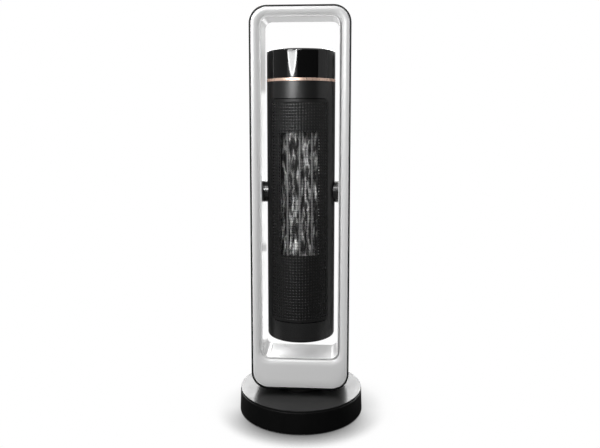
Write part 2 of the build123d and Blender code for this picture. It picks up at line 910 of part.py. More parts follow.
def drum_rear_shell():
    """The back wall, with a stepped window that the intake cover sits in."""
    body = half_drum(False) - axle_hole()
    skin_inner = drum_radius - intake_recess
    body -= intake_outline(0) - disc(skin_inner, intake_low - overrun, intake_high + overrun)
    body -= intake_outline(intake_ledge)
    for place in drum_screw_places():
        body -= place * drum_screw_cut()
    return body


def intake_outline(inset):
    """The intake cover's outline seen from the back, taken in by inset."""
    return loop_block(
        intake_width - 2 * inset,
        intake_low + inset,
        intake_high - inset,
        intake_corner_radius - inset,
        0,
        drum_radius + overrun,
    )


def drum_screw_places():
    """Four radial screws: two into the lower plate and two into the upper plate."""
    heights = [lower_plate_z + plate_thickness / 2, upper_plate_z + plate_thickness / 2]
    offset = intake_half_angle + drum_screw_offset_angle
    angles = [90.0 - offset, 90.0 + offset]
    return [Pos(0, 0, z) * Rot(0, 0, angle) * Rot(0, 90, 0) for z in heights for angle in angles]


def drum_screw_cut():
    """A sunk hole along the screw, ready to be turned to its place."""
    head_low = drum_radius - drum_screw_head_height
    seat = disc(drum_screw_head_radius + moving_gap, head_low, drum_radius + overrun)
    return seat + disc(drum_screw_radius, drum_inner_radius - overrun, drum_radius)


def drum_screws():
    """Screws through the back wall into the lugs of the two plates."""
    one = screw(drum_screw_radius, drum_screw_head_radius, drum_screw_head_height, drum_screw_length)
    seat = Pos(0, 0, drum_radius - drum_screw_head_height)
    return Compound([place * seat * one for place in drum_screw_places()])


def front_grille():
    """A curved panel with rows of upright slots and a flange behind the wall's window."""
    outer = drum_radius - grille_setback
    inner = outer - grille_thickness
    low = grille_low - overrun
    high = grille_high + overrun
    panel = tube(outer, inner, low, high) & grille_outline(panel_gap, -drum_radius, 0)
    flange_outer = drum_inner_radius - running_fit
    flange = tube(flange_outer, flange_outer - grille_flange_thickness, low - overrun, high + overrun)
    flange &= grille_outline(-grille_flange, -drum_radius, 0)
    flange -= grille_outline(grille_flange, -drum_radius - overrun, overrun)
    body = panel + flange
    half_angle = degrees(asin((grille_width / 2 - grille_margin) / outer))
    usable = grille_high - grille_low - 2 * grille_margin
    cut = Pos(0, -outer, 0) * Box(grille_slot_width, 4 * grille_thickness, grille_slot_height)
    slots = []
    for column in range(grille_slot_columns):
        angle = half_angle * (2 * column / (grille_slot_columns - 1) - 1)
        for row in range(grille_slot_rows):
            z = grille_low + grille_margin + usable * (row + 0.5) / grille_slot_rows
            slots.append(Rot(0, 0, angle) * Pos(0, 0, z) * cut)
    return body.cut(*slots)


def intake_cover():
    """A pull-off curved panel with rows of level slots and a border that steps inwards."""
    skin_inner = drum_radius - intake_recess
    low = intake_low - overrun
    high = intake_high + overrun
    skin = tube(drum_radius, skin_inner, low, high) & intake_outline(moving_gap)
    step = tube(skin_inner, skin_inner - intake_inner_depth, low, high)
    step &= intake_outline(intake_ledge + moving_gap)
    body = skin + step
    inset = intake_border + intake_ledge
    span = intake_high - intake_low - 2 * inset
    rows = int(span / intake_slot_pitch)
    half_width = intake_width / 2 - inset
    slots = []
    for row in range(rows):
        z = intake_low + inset + span * (row + 0.5) / rows
        for side in (-1, 1):
            near = side * intake_rib_width / 2
            far = side * half_width
            slots.append(
                block(
                    min(near, far),
                    max(near, far),
                    0,
                    drum_radius + overrun,
                    z - intake_slot_height / 2,
                    z + intake_slot_height / 2,
                )
            )
    return body.cut(*slots)


def dust_filter():
    """A thin filter mat clipped behind the intake cover."""
    outer = drum_radius - intake_recess - intake_inner_depth
    body = tube(outer, outer - filter_thickness, intake_low, intake_high)
    return body & intake_outline(intake_ledge + 2 * moving_gap)


def drum_bottom_cap():
    """The rounded bottom of the drum, with a spigot ring inside the walls."""
    body = disc(drum_radius, drum_low, bottom_cap_top)
    body = fillet(body.edges().group_by(Axis.Z)[0], bottom_cap_edge_radius)
    ring_top = bottom_cap_top + spigot_ring_height
    body += tube(spigot_ring_radius, spigot_ring_radius - spigot_ring_wall, drum_low + drum_wall, ring_top)
    hollow = disc(drum_radius - 2 * bottom_cap_edge_radius, drum_low + drum_wall, ring_top)
    return body - hollow


def accent_ring():
    """The metal ring between the drum's wall and its cap."""
    body = tube(drum_radius + accent_proud, spigot_ring_radius, accent_low, cap_low)
    edges = body.edges().filter_by(GeomType.CIRCLE).sort_by(SortBy.RADIUS)[-2:]
    return fillet(edges, accent_proud)


def key_places():
    """The keys stand in an arc along the front of the cap."""
    circle = drum_inner_radius - key_inset
    step = 2 * asin((key_radius + key_flange_width + key_gap / 2) / circle)
    turns = [step * (i - (len(key_names) - 1) / 2) for i in range(len(key_names))]
    return [(circle * sin(turn), -circle * cos(turn)) for turn in turns]


def top_cap():
    """The gloss cap, with holes for the keys, a seat for the display and board posts."""
    body = disc(drum_radius, cap_low, drum_high)
    body = fillet(body.edges().group_by(Axis.Z)[-1], top_cap_edge_radius)
    body -= disc(drum_inner_radius, cap_low - overrun, drum_high - drum_wall)
    spigot_low = accent_low - spigot_ring_height
    spigot_top = cap_low + spigot_ring_height
    outer = spigot_ring_radius
    body += tube(outer, outer - spigot_ring_wall, spigot_low, spigot_top)
    body += tube(drum_inner_radius, outer - spigot_ring_wall, cap_low, spigot_top)
    for x, y in key_places():
        hole = disc(key_radius + moving_gap, drum_high - drum_wall - overrun, drum_high + overrun)
        body -= Pos(x, y, 0) * hole
    lens = RectangleRounded(lens_width, lens_depth, lens_corner_radius)
    body -= extrude(Pos(0, lens_y, drum_high + lens_proud - lens_thickness) * lens, overrun)
    post = disc(board_post_radius, control_board_top, drum_high - drum_wall)
    for place in around(control_board_radius - board_post_inset, board_post_count, 30.0):
        body += place * post
    return body


def display_lens():
    """A smoked window over the digits."""
    lens = RectangleRounded(lens_width, lens_depth, lens_corner_radius)
    body = extrude(Pos(0, lens_y, drum_high + lens_proud - lens_thickness) * lens, lens_thickness)
    return fillet(body.edges().group_by(Axis.Z)[-1], lens_proud)


def key(place):
    """A round key with a flange under the cap and a stem towards its switch."""
    top = drum_high + key_proud
    under = drum_high - drum_wall - moving_gap
    body = disc(key_radius, under - key_flange_thickness, top)
    body = fillet(body.edges().group_by(Axis.Z)[-1], key_proud / 2)
    body += disc(key_radius + key_flange_width, under - key_flange_thickness, under)
    switch_top = control_board_top + tact_height + tact_button_height
    body += disc(key_stem_radius, switch_top + key_travel + moving_gap, under)
    x, y = place
    return Pos(x, y, 0) * body


def tact_switches():
    """Small square push switches on the control board, one under each key."""
    half = tact_size / 2
    body = block(-half, half, -half, half, control_board_top, control_board_top + tact_height)
    low = control_board_top + tact_height - tact_button_height
    body += disc(tact_button_radius, low, control_board_top + tact_height + tact_button_height)
    return Compound([Pos(x, y, 0) * body for x, y in key_places()])


def control_board():
    """The board under the cap, hung from its posts."""
    body = disc(control_board_radius, control_board_top - board_thickness, control_board_top)
    half = lens_width / 2
    deep = lens_depth / 2
    high = control_board_top + tact_height
    digits = block(-half, half, lens_y - deep, lens_y + deep, control_board_top, high)
    return body + digits


def trunnion(side):
    """A round boss saddled on the drum, with a hollow axle through both walls."""
    body = cross_rod(pivot_disc_radius - moving_gap, 0, trunnion_outer_x, pivot_z)
    body -= disc(drum_radius, drum_low, drum_high)
    nut_high = sqrt(drum_inner_radius ** 2 - pivot_nut_radius ** 2) - running_fit
    nut_low = nut_high - pivot_nut_thickness
    body += cross_rod(axle_radius, nut_low, axle_end_x, pivot_z)
    body += cross_rod(pivot_nut_radius, nut_low, nut_high, pivot_z)
    body -= cross_rod(axle_bore_radius, 0, axle_end_x + overrun, pivot_z)
    return body if side > 0 else mirror(body, Plane.YZ)


# Blower

def plate(low):
    """A round plate across the drum, cut clear of the intake and the grille."""
    inner = drum_inner_radius - running_fit
    body = disc(inner, low, low + plate_thickness)
    front = heater_front_y
    back = filter_inner_radius - 2 * moving_gap
    keep = block(-inner, inner, front, inner, low - overrun, low + plate_thickness + overrun)
    keep &= disc(back, low - overrun, low + plate_thickness + overrun)
    rim = tube(inner, back - plate_lug_width, low, low + plate_thickness)
    half = plate_lug_width / 2
    reach = block(0, drum_radius, -half, half, low, low + plate_thickness)
    offset = intake_half_angle + drum_screw_offset_angle
    lugs = [rim & (Rot(0, 0, 90.0 + sign * offset) * reach) for sign in (-1, 1)]
    body = joined([body & keep, *lugs])
    for place in drum_screw_places():
        body -= place * disc(drum_screw_radius, drum_radius - 2 * drum_screw_length, drum_radius)
    return body


def blower_lower_plate():
    """The plate that carries the blower's motor."""
    hole = disc(blower_motor_collar_radius, lower_plate_z - overrun, lower_plate_z + 2 * overrun)
    return plate(lower_plate_z) - Pos(0, wheel_centre_y, 0) * hole


def blower_upper_plate():
    """The plate that carries the blower's upper bearing."""
    hole = disc(bearing_radius, upper_plate_z - overrun, upper_plate_z + 2 * overrun)
    return plate(upper_plate_z) - Pos(0, wheel_centre_y, 0) * hole


def blower_bearing():
    """The upper bush of the blower's shaft, with a flange that rests on its plate."""
    top = upper_plate_z + plate_thickness
    body = disc(bearing_radius, upper_plate_z, upper_plate_z + bearing_height)
    body += disc(bearing_radius + plate_thickness / 2, top, top + plate_thickness / 2)
    body -= disc(shaft_radius + running_fit, upper_plate_z - overrun, upper_plate_z + 2 * bearing_height)
    return Pos(0, wheel_centre_y, 0) * body


def blower_motor():
    """The blower's motor, hung under the lower plate with its collar through it."""
    body = disc(blower_motor_radius, blower_motor_low, lower_plate_z)
    body = fillet(body.edges().group_by(Axis.Z)[0], plate_thickness)
    body += disc(blower_motor_collar_radius, lower_plate_z, lower_plate_z + plate_thickness)
    bore_low = lower_plate_z + plate_thickness - shaft_bore_depth
    body -= disc(shaft_radius + running_fit, bore_low, lower_plate_z + plate_thickness + overrun)
    return Pos(0, wheel_centre_y, 0) * body


def blower_shaft():
    """A steel shaft from the motor to the upper bush."""
    low = lower_plate_z + plate_thickness - shaft_bore_depth + thrust_gap
    high = upper_plate_z + bearing_height + plate_thickness
    return Pos(0, wheel_centre_y, 0) * disc(shaft_radius, low, high)


def blower_wheel():
    """Bowed blades round a few thin discs."""
    gap = (wheel_high - wheel_low - wheel_disc_thickness) / (wheel_disc_count - 1)
    discs = []
    for i in range(wheel_disc_count):
        low = wheel_low + i * gap
        inner = shaft_radius if i in (0, wheel_disc_count - 1) else wheel_radius - blade_depth - overrun
        discs.append(tube(wheel_radius, inner, low, low + wheel_disc_thickness))
    outer = wheel_radius - blade_thickness / 2
    inner = wheel_radius - blade_depth
    line = ThreePointArc((inner, 0), ((inner + outer) / 2, blade_bow), (outer, 0))
    blade = extrude(Pos(0, 0, wheel_low) * trace(line, blade_thickness), wheel_high - wheel_low)
    blades = [Rot(0, 0, 360 * i / blade_count) * blade for i in range(blade_count)]
    return Pos(0, wheel_centre_y, 0) * joined(discs + blades)


def blower_scroll():
    """Bent sheets that lead the air from the wheel to the edges of the heater: a scroll and a tongue."""
    low = lower_plate_z + plate_thickness
    height = upper_plate_z - low
    angle = radians(scroll_start_angle)
    middle = radians((scroll_start_angle + 180.0) / 2)
    centre_y = wheel_centre_y
    arc = ThreePointArc(
        (scroll_radius * cos(angle), centre_y + scroll_radius * sin(angle)),
        (scroll_radius * cos(middle), centre_y + scroll_radius * sin(middle)),
        (-scroll_radius, centre_y),
    )
    duct_edge = heater_width / 2 + scroll_sheet
    straight = Line((-scroll_radius, centre_y), (-duct_edge, heater_back_y))
    scroll = extrude(Pos(0, 0, low) * trace(arc + straight, scroll_sheet), height)
    nose = (scroll_radius - tongue_inset + scroll_sheet, centre_y - tongue_reach)
    tongue_line = Polyline(nose, (scroll_radius, nose[1] - tongue_inset), (duct_edge, heater_back_y))
    tongue = extrude(Pos(0, 0, low) * trace(tongue_line, scroll_sheet), height)
    return Compound([*scroll.solids(), *tongue.solids()])


# Heater block

def heater_frame():
    """A moulded board between the plates with a window for the fins and toothed edges."""
    low = lower_plate_z + plate_thickness
    half = heater_frame_width / 2
    body = block(-half, half, heater_front_y, heater_back_y, low, upper_plate_z)
    hollow_low = heater_low - heater_border
    hollow_high = heater_high + heater_border
    back = heater_back_y + overrun
    skin = heater_front_y + heater_wall + heater_border / 2
    body -= block(-half + heater_wall, half - heater_wall, skin, back, low - overrun, hollow_low)
    body -= block(
        -half + heater_wall, half - heater_wall, skin, back, hollow_high, upper_plate_z + overrun
    )
    opening = heater_width / 2
    body -= block(-opening, opening, heater_front_y - overrun, back, heater_low, heater_high)
    count = int(heater_width / tooth_pitch)
    tooth = block(0, tooth_size, heater_front_y, heater_front_y + heater_wall, 0, tooth_size)
    for i in range(count):
        x = -opening + heater_width * (i + 0.5) / count - tooth_size / 2
        body += Pos(x, 0, heater_low) * tooth
        body += Pos(x, 0, heater_high - tooth_size) * tooth
    return body


def ptc_bar_centres():
    """The middles of the heating bars in X."""
    gap = heater_width / (ptc_bar_count - 1 + 2 * ptc_side_bay_share)
    return [gap * (i - (ptc_bar_count - 1) / 2) for i in range(ptc_bar_count)]


def ptc_bars():
    """Flat ceramic heating elements in aluminium tubes, standing side by side."""
    half = ptc_bar_width / 2
    inset = heater_wall + tooth_size / 2
    return Compound(
        [
            block(x - half, x + half, heater_front_y + inset, heater_back_y, heater_low, heater_high)
            for x in ptc_bar_centres()
        ]
    )


def strip_outline(line, thickness):
    """The outline of a bent strip: its middle line moved to both sides, with mitred corners."""
    turns = [atan2(b[1] - a[1], b[0] - a[0]) for a, b in zip(line, line[1:])]
    before = [turns[0]] + turns
    after = turns + [turns[-1]]
    left = []
    right = []
    for (x, z), first, second in zip(line, before, after):
        half = thickness / 2 / cos((second - first) / 2)
        middle = (first + second) / 2
        across = (-half * sin(middle), half * cos(middle))
        left.append((x + across[0], z + across[1]))
        right.append((x - across[0], z - across[1]))
    return left + right[::-1]


def heater_fins():
    """Folded aluminium strips between the bars, one zigzag a bay."""
    half = ptc_bar_width / 2
    sides = [-heater_width / 2]
    for x in ptc_bar_centres():
        sides += [x - half, x + half]
    sides.append(heater_width / 2)
    low = heater_low + tooth_size + heater_wall
    height = heater_high - heater_low - 2 * tooth_size - 2 * heater_wall
    folds = 2 * int(height / fin_pitch)
    step = height / folds
    flat = fin_fold_share * step
    inset = heater_wall + tooth_size / 2
    strips = []
    for left, right in zip(sides[0::2], sides[1::2]):
        line = []
        for i in range(folds):
            x = left + fin_thickness / 2 if i % 2 else right - fin_thickness / 2
            line += [(x, low + step * i), (x, low + step * i + flat)]
        outline = make_face(Polyline(*strip_outline(line, fin_thickness), close=True))
        strip = extrude(Plane.XZ.offset(-heater_back_y) * outline, heater_depth - inset)
        strips.append(strip)
    return Compound([solid for strip in strips for solid in strip.solids()])


def heater_terminals():
    """Push-on brass tabs below the bars."""
    y_middle = (heater_front_y + heater_back_y) / 2
    half = terminal_width / 2
    tabs = []
    for x in ptc_bar_centres():
        tabs.append(
            block(
                x - terminal_thickness / 2,
                x + terminal_thickness / 2,
                y_middle,
                y_middle + 2 * half,
                heater_low - terminal_length,
                heater_low - heater_border,
            )
        )
    return Compound(tabs)


def thermal_cutout():
    """A round snap thermostat on the back of the heater board."""
    z = (heater_high + heater_border + upper_plate_z) / 2
    skin = heater_front_y + heater_wall + heater_border / 2
    body = deep_rod(cutout_radius, 0, skin, skin + cutout_height, z)
    tab_y = skin + cutout_height
    half = terminal_width / 2
    for side in (-1, 1):
        x = side * cutout_radius / 2
        tab = block(
            x - terminal_thickness / 2,
            x + terminal_thickness / 2,
            tab_y - terminal_thickness,
            tab_y + terminal_width,
            z - half,
            z + half,
        )
        body += tab
    return body


def power_board():
    """The mains board in the foot of the drum, with its relays."""
    low = power_board_z
    body = disc(power_board_radius, low, low + board_thickness)
    for i in range(relay_count):
        x = relay_width * relay_pitch_share * (i - (relay_count - 1) / 2)
        body += block(
            x - relay_width / 2,
            x + relay_width / 2,
            -relay_depth / 2,
            relay_depth / 2,
            low + board_thickness,
            low + board_thickness + relay_height,
        )
    post_low = drum_low + drum_wall
    for place in around(power_board_radius - 2 * board_post_radius, board_post_count, 90.0):
        body += place * disc(board_post_radius, post_low, low)
    return body


sides = {"left": -1, "right": 1}

nodes = {
    "base_shell": base_shell(),
    "base_cover": base_cover(),
    "base_floor_plate": base_floor_plate(),
    "rubber_feet": rubber_feet(),
    "base_screws": base_screws(),
    "ballast_ring": ballast_ring(),
    "turntable_bearing": turntable_bearing(),
    "swing_motor": swing_motor(),
    "swing_pinion": swing_pinion(),
    "tip_switch_housing": tip_switch_housing(),
    "tip_switch_plunger": tip_switch_plunger(),
    "tip_switch_spring": tip_switch_spring(),
    "cord_gland": cord_gland(),
    "rocker_housing": rocker_housing(),
    "power_rocker": power_rocker(),
    "turntable": turntable(),
    "turntable_gear": turntable_gear(),
    "foot_bracket": foot_bracket(),
    "bracket_screws": bracket_screws(),
    "frame_front_shell": frame_front_shell(),
    "frame_rear_shell": frame_rear_shell(),
    "opening_liner": opening_liner(),
    "outer_band": outer_band(),
    "frame_screws": frame_screws(),
    "frame_wiring": frame_wiring(),
    "drum_front_shell": drum_front_shell(),
    "drum_rear_shell": drum_rear_shell(),
    "drum_screws": drum_screws(),
    "front_grille": front_grille(),
    "intake_cover": intake_cover(),
    "dust_filter": dust_filter(),
    "drum_bottom_cap": drum_bottom_cap(),
    "accent_ring": accent_ring(),
    "top_cap": top_cap(),
    "display_lens": display_lens(),
    "tact_switches": tact_switches(),
    "control_board": control_board(),
    "power_board": power_board(),
    "blower_lower_plate": blower_lower_plate(),
    "blower_upper_plate": blower_upper_plate(),
    "blower_bearing": blower_bearing(),
    "blower_motor": blower_motor(),
    "blower_shaft": blower_shaft(),
    "blower_wheel": blower_wheel(),
    "blower_scroll": blower_scroll(),
    "heater_frame": heater_frame(),
    "ptc_bars": ptc_bars(),
    "heater_fins": heater_fins(),
    "heater_terminals": heater_terminals(),
    "thermal_cutout": thermal_cutout(),
}
for name, side in sides.items():
    nodes[name + "_pivot_bush"] = pivot_bush(side)
    nodes[name + "_trunnion"] = trunnion(side)
for name, place in zip(key_names, key_places()):
    nodes[name] = key(place)

os.makedirs("parts", exist_ok=True)
for name, shape in nodes.items():
    export_step(shape, "parts/" + name + ".step")
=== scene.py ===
import json
import math
import bmesh
import bpy
from mathutils import Matrix, Vector


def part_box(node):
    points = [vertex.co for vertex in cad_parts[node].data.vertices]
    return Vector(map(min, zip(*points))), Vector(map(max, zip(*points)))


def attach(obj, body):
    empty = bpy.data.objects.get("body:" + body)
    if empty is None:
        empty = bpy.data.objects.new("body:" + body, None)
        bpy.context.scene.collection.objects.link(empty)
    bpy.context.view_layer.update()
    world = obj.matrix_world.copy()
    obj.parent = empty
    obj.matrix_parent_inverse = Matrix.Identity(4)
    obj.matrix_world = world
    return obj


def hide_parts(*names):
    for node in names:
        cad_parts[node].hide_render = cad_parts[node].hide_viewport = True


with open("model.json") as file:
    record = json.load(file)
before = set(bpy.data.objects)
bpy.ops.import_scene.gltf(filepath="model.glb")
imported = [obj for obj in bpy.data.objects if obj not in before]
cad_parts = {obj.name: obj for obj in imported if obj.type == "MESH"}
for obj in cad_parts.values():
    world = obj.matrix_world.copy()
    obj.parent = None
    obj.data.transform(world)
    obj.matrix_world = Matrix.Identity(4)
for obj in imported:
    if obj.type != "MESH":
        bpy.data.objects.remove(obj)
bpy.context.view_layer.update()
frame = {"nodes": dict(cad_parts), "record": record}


# Studio: a pale floor in an even white surround, a soft key lamp at the upper left, a weak lamp low
# in front, two lamps behind that brighten the frame's inside, and cards that only polish mirrors.
# The camera stands a little to the right of the heater and looks slightly down.
SOFT_LIGHT = 0.34
FLOOR_COLOUR = (0.10, 0.10, 0.10, 1)
FLOOR_HALF = 6.0
FLOOR_NEAR = 0.135
FLOOR_FAR = 0.19
FLOOR_LIFT = 0.92
SHADOW_REACH = 0.050
SHADOW_SAMPLES = 12
SHADOW_SIDE = 0.45
SHADOW_RIGHT = 0.28
SHADOW_FRONT = 3.6
POLISH_NEAR = 0.20
POLISH_FAR = 0.31
POLISH_FRONT = 0.18
CARD_COLUMNS = 24
CARD_TIP_ROWS = 12
CARD_TIP_CURVE = 2.4


def both_ways(operation):
    """An operator for wires, and its form for a plain number on the left."""
    def forward(wire, other):
        return wire.sum(operation, wire, other)

    def reflected(wire, other):
        return wire.sum(operation, other, wire)

    return forward, reflected


class Wire:
    """One socket of a finish. Plain sums on it add the maths nodes that work them out."""

    __add__, __radd__ = both_ways("ADD")
    __sub__, __rsub__ = both_ways("SUBTRACT")
    __mul__, __rmul__ = both_ways("MULTIPLY")
    __truediv__, __rtruediv__ = both_ways("DIVIDE")
    __pow__, __rpow__ = both_ways("POWER")
    __mod__, __rmod__ = both_ways("MODULO")

    def __init__(self, finish, socket):
        self.finish = finish
        self.socket = socket

    def sum(self, operation, first, second=0.0):
        """What a maths node makes of two values."""
        values = {0: first, 1: second}
        return self.finish.node("ShaderNodeMath", {"operation": operation}, values)["Value"]

    def __abs__(self):
        return self.sum("ABSOLUTE", self)

    def __gt__(self, other):
        return self.sum("GREATER_THAN", self, other)

    def __lt__(self, other):
        return self.sum("LESS_THAN", self, other)


class Finish:
    """The nodes of one material, of the surround or of a geometry tree."""

    def __init__(self, name, tree=None):
        if tree is None:
            self.material = bpy.data.materials.new(name)
            self.material.use_nodes = True
            tree = self.material.node_tree
        self.tree = tree
        self.tree.nodes.clear()

    def node(self, kind, settings=None, values=None):
        """Adds a node: its settings first, then the values or links of its sockets."""
        node = self.tree.nodes.new(kind)
        for name, value in (settings or {}).items():
            setattr(node, name, value)
        for name, value in (values or {}).items():
            for part in value if isinstance(value, list) else [value]:
                if isinstance(part, Wire):
                    self.tree.links.new(part.socket, node.inputs[name])
                else:
                    node.inputs[name].default_value = part
        outs = [out for out in node.outputs if out.enabled]
        return {key: Wire(self, out) for out in outs for key in (out.name, out.identifier)}

    def ramp(self, value, low, high, low_result=0.0, high_result=1.0):
        """A smooth step of a value from low to high."""
        values = {"Value": value, "From Min": low, "From Max": high,
                  "To Min": low_result, "To Max": high_result}
        return self.node("ShaderNodeMapRange", {"interpolation_type": "SMOOTHSTEP"}, values)["Result"]

    def place(self, scale=(1, 1, 1)):
        """The point on the piece, scaled for a pattern."""
        values = {"Vector": self.node("ShaderNodeTexCoord")["Object"], "Scale": scale}
        return self.node("ShaderNodeMapping", {}, values)["Vector"]

    def noise(self, scale, detail=2.0, roughness=0.5, stretch=(1, 1, 1)):
        """Soft random blotches, as many to the metre as the scale says."""
        values = {"Vector": self.place(stretch), "Scale": scale, "Detail": detail, "Roughness": roughness}
        return self.node("ShaderNodeTexNoise", {}, values)["Fac"]

    def mix(self, share, first, second):
        """Two colours mixed. The mix node's seventh and eighth sockets are its two for colours."""
        values = {0: share, 6: first, 7: second}
        return self.node("ShaderNodeMix", {"data_type": "RGBA"}, values)["Result"]

    def bump(self, height, distance, strength=1.0):
        """Small relief, as deep as the distance in metres."""
        values = {"Height": height, "Distance": distance, "Strength": strength}
        return self.node("ShaderNodeBump", {}, values)["Normal"]

    def surface(self, **values):
        """The finished surface. Names are socket names with underscores for spaces."""
        sockets = {name.replace("_", " "): value for name, value in values.items()}
        shader = self.node("ShaderNodeBsdfPrincipled", {}, sockets)["BSDF"]
        self.node("ShaderNodeOutputMaterial", {}, {"Surface": shader})
        return self


def grey(level, tint=(1, 1, 1)):
    """A grey of that level, slightly tinted."""
    return (level * tint[0], level * tint[1], level * tint[2], 1)


def build_surround():
    """White all round, which lights matt surfaces less than the camera, polish and glass see it."""
    world = bpy.data.worlds.new("surround")
    bpy.context.scene.world = world
    world.use_nodes = True
    finish = Finish("surround", world.node_tree)
    rays = finish.node("ShaderNodeLightPath")
    seen_rays = rays["Is Camera Ray"] + rays["Is Glossy Ray"] + rays["Is Transmission Ray"]
    seen = finish.node("ShaderNodeClamp", {}, {"Value": seen_rays})["Result"]
    strength = finish.ramp(seen, 0, 1, SOFT_LIGHT, 1.0)
    light = finish.node("ShaderNodeBackground", {}, {"Color": grey(1), "Strength": strength})["Background"]
    finish.node("ShaderNodeOutputWorld", {}, {"Surface": light})


def mesh_piece(name, points, faces):
    """A new object from points and faces."""
    mesh = bpy.data.meshes.new(name)
    mesh.from_pydata([tuple(point) for point in points], [], faces)
    mesh.validate()
    piece = bpy.data.objects.new(name, mesh)
    bpy.context.scene.collection.objects.link(piece)
    return piece


def floor_finish():
    """Pale paint whose glow a painted shadow darkens round the base, more to the front; white further out.
    """
    finish = Finish("floor_paint")
    point = finish.node("ShaderNodeTexCoord")["Object"]
    reach = finish.node("ShaderNodeVectorMath", {"operation": "LENGTH"}, {0: point})["Value"]
    place = finish.node("ShaderNodeSeparateXYZ", {}, {"Vector": point})
    front = place["Y"] * -1
    rays = finish.node("ShaderNodeLightPath")
    seen = rays["Is Camera Ray"]
    polish_rays = rays["Is Glossy Ray"] + rays["Is Transmission Ray"]
    polish = finish.node("ShaderNodeClamp", {}, {"Value": polish_rays})["Result"]
    # Polished surfaces see the dark paint under the lamps near the heater, out to a reach that grows to the
    # front, and white beyond; only the camera sees the glow.
    mirrored = reach - finish.ramp(front, 0.0, POLISH_NEAR, 0.0, POLISH_FRONT)
    far = finish.ramp(reach, FLOOR_NEAR, FLOOR_FAR) * seen
    far = far + finish.ramp(mirrored, POLISH_NEAR, POLISH_FAR) * polish
    paint = finish.node("ShaderNodeBsdfDiffuse", {}, {"Color": FLOOR_COLOUR})["BSDF"]
    values = {"Distance": SHADOW_REACH}
    hidden = finish.node("ShaderNodeAmbientOcclusion", {"samples": SHADOW_SAMPLES}, values)["AO"]
    # The painted shadow: occlusion darkens the glow that the camera sees, more deeply to the front and to
    # the right.
    depth = finish.ramp(front, 0.0, FLOOR_NEAR, SHADOW_SIDE, SHADOW_FRONT)
    depth = depth + finish.ramp(place["X"], 0.0, FLOOR_NEAR, 0.0, SHADOW_RIGHT)
    glow = FLOOR_LIFT * hidden ** depth * seen
    lift = finish.node("ShaderNodeEmission", {}, {"Color": grey(1), "Strength": glow})["Emission"]
    near = finish.node("ShaderNodeAddShader", {}, {0: paint, 1: lift})["Shader"]
    white = finish.node("ShaderNodeEmission", {}, {"Color": grey(1)})["Emission"]
    blend = finish.node("ShaderNodeMixShader", {}, {0: far, 1: near, 2: white})["Shader"]
    finish.node("ShaderNodeOutputMaterial", {}, {"Surface": blend})
    return finish


def build_floor():
    half = FLOOR_HALF
    corners = [(-half, -half, 0), (half, -half, 0), (half, half, 0), (-half, half, 0)]
    floor = mesh_piece("floor", corners, [(0, 1, 2, 3)])
    floor.data.materials.append(floor_finish().material)


def card(name, first, last, low, high, radius, level, tip=None):
    """A curved card between two bearings in degrees from the front, that only polish shows.

    With a tip, it narrows downwards to a round end at that bearing.
    """
    rows = 1 if tip is None else CARD_TIP_ROWS
    points = []
    for row in range(rows + 1):
        height = low + (high - low) * (row / rows) ** CARD_TIP_CURVE
        for i in range(CARD_COLUMNS + 1):
            bearing = first + (last - first) * i / CARD_COLUMNS
            if tip is not None:
                bearing = tip + (bearing - tip) * row / rows
            turn = math.radians(bearing)
            points.append((radius * math.sin(turn), -radius * math.cos(turn), height))
    stride = CARD_COLUMNS + 1
    corners = [row * stride + i for row in range(rows) for i in range(CARD_COLUMNS)]
    faces = [(k, k + 1, k + stride + 1, k + stride) for k in corners]
    piece = mesh_piece(name, points, faces)
    finish = Finish(name)
    light = finish.node("ShaderNodeEmission", {}, {"Color": grey(1), "Strength": level})["Emission"]
    finish.node("ShaderNodeOutputMaterial", {}, {"Surface": light})
    piece.data.materials.append(finish.material)
    piece.visible_camera = False
    piece.visible_diffuse = False
    piece.visible_shadow = False
    piece.visible_transmission = False


def lamp(name, place, aim, size, power, mirrored=True):
    """A soft square lamp that looks at a point."""
    light = bpy.data.lights.new(name, "AREA")
    light.size = size
    light.energy = power
    piece = bpy.data.objects.new(name, light)
    piece.location = place
    piece.rotation_euler = (Vector(aim) - Vector(place)).to_track_quat("-Z", "Y").to_euler()
    piece.visible_glossy = mirrored
    bpy.context.scene.collection.objects.link(piece)


def build_camera():
    """The photograph's view, from a little to the right of the heater and above its middle."""
    image_width = 600
    image_height = 448
    focal_px = 647.5
    axis_row = 188
    pitch = 0.113
    yaw = 0.069
    lens = bpy.data.cameras.new("camera")
    lens.sensor_width = 36
    lens.lens = focal_px / image_width * lens.sensor_width
    lens.shift_y = (axis_row - image_height / 2) / image_width
    camera = bpy.data.objects.new("camera", lens)
    camera.location = (0.07635, -1.13408, 0.53167)
    camera.rotation_euler = (math.pi / 2 - pitch, 0, yaw)
    bpy.context.scene.collection.objects.link(camera)
    bpy.context.scene.camera = camera
    bpy.context.scene.view_settings.view_transform = "Standard"


build_surround()
build_floor()
build_camera()
# Each lamp has its place, the point it looks at, its size in metres and its power in watts.
lamp("lamp_key", (-1.0, -1.3, 1.30), (0, 0, 0.38), 0.7, 26)
lamp("lamp_front", (0.12, -1.7, 0.15), (0, 0, 0.20), 0.5, 4.5, mirrored=False)
lamp("lamp_back_left", (-1.3, 1.5, 0.40), (0, 0, 0.38), 0.7, 8, mirrored=False)
lamp("lamp_back_right", (1.3, 1.5, 0.40), (0, 0, 0.38), 0.7, 8, mirrored=False)
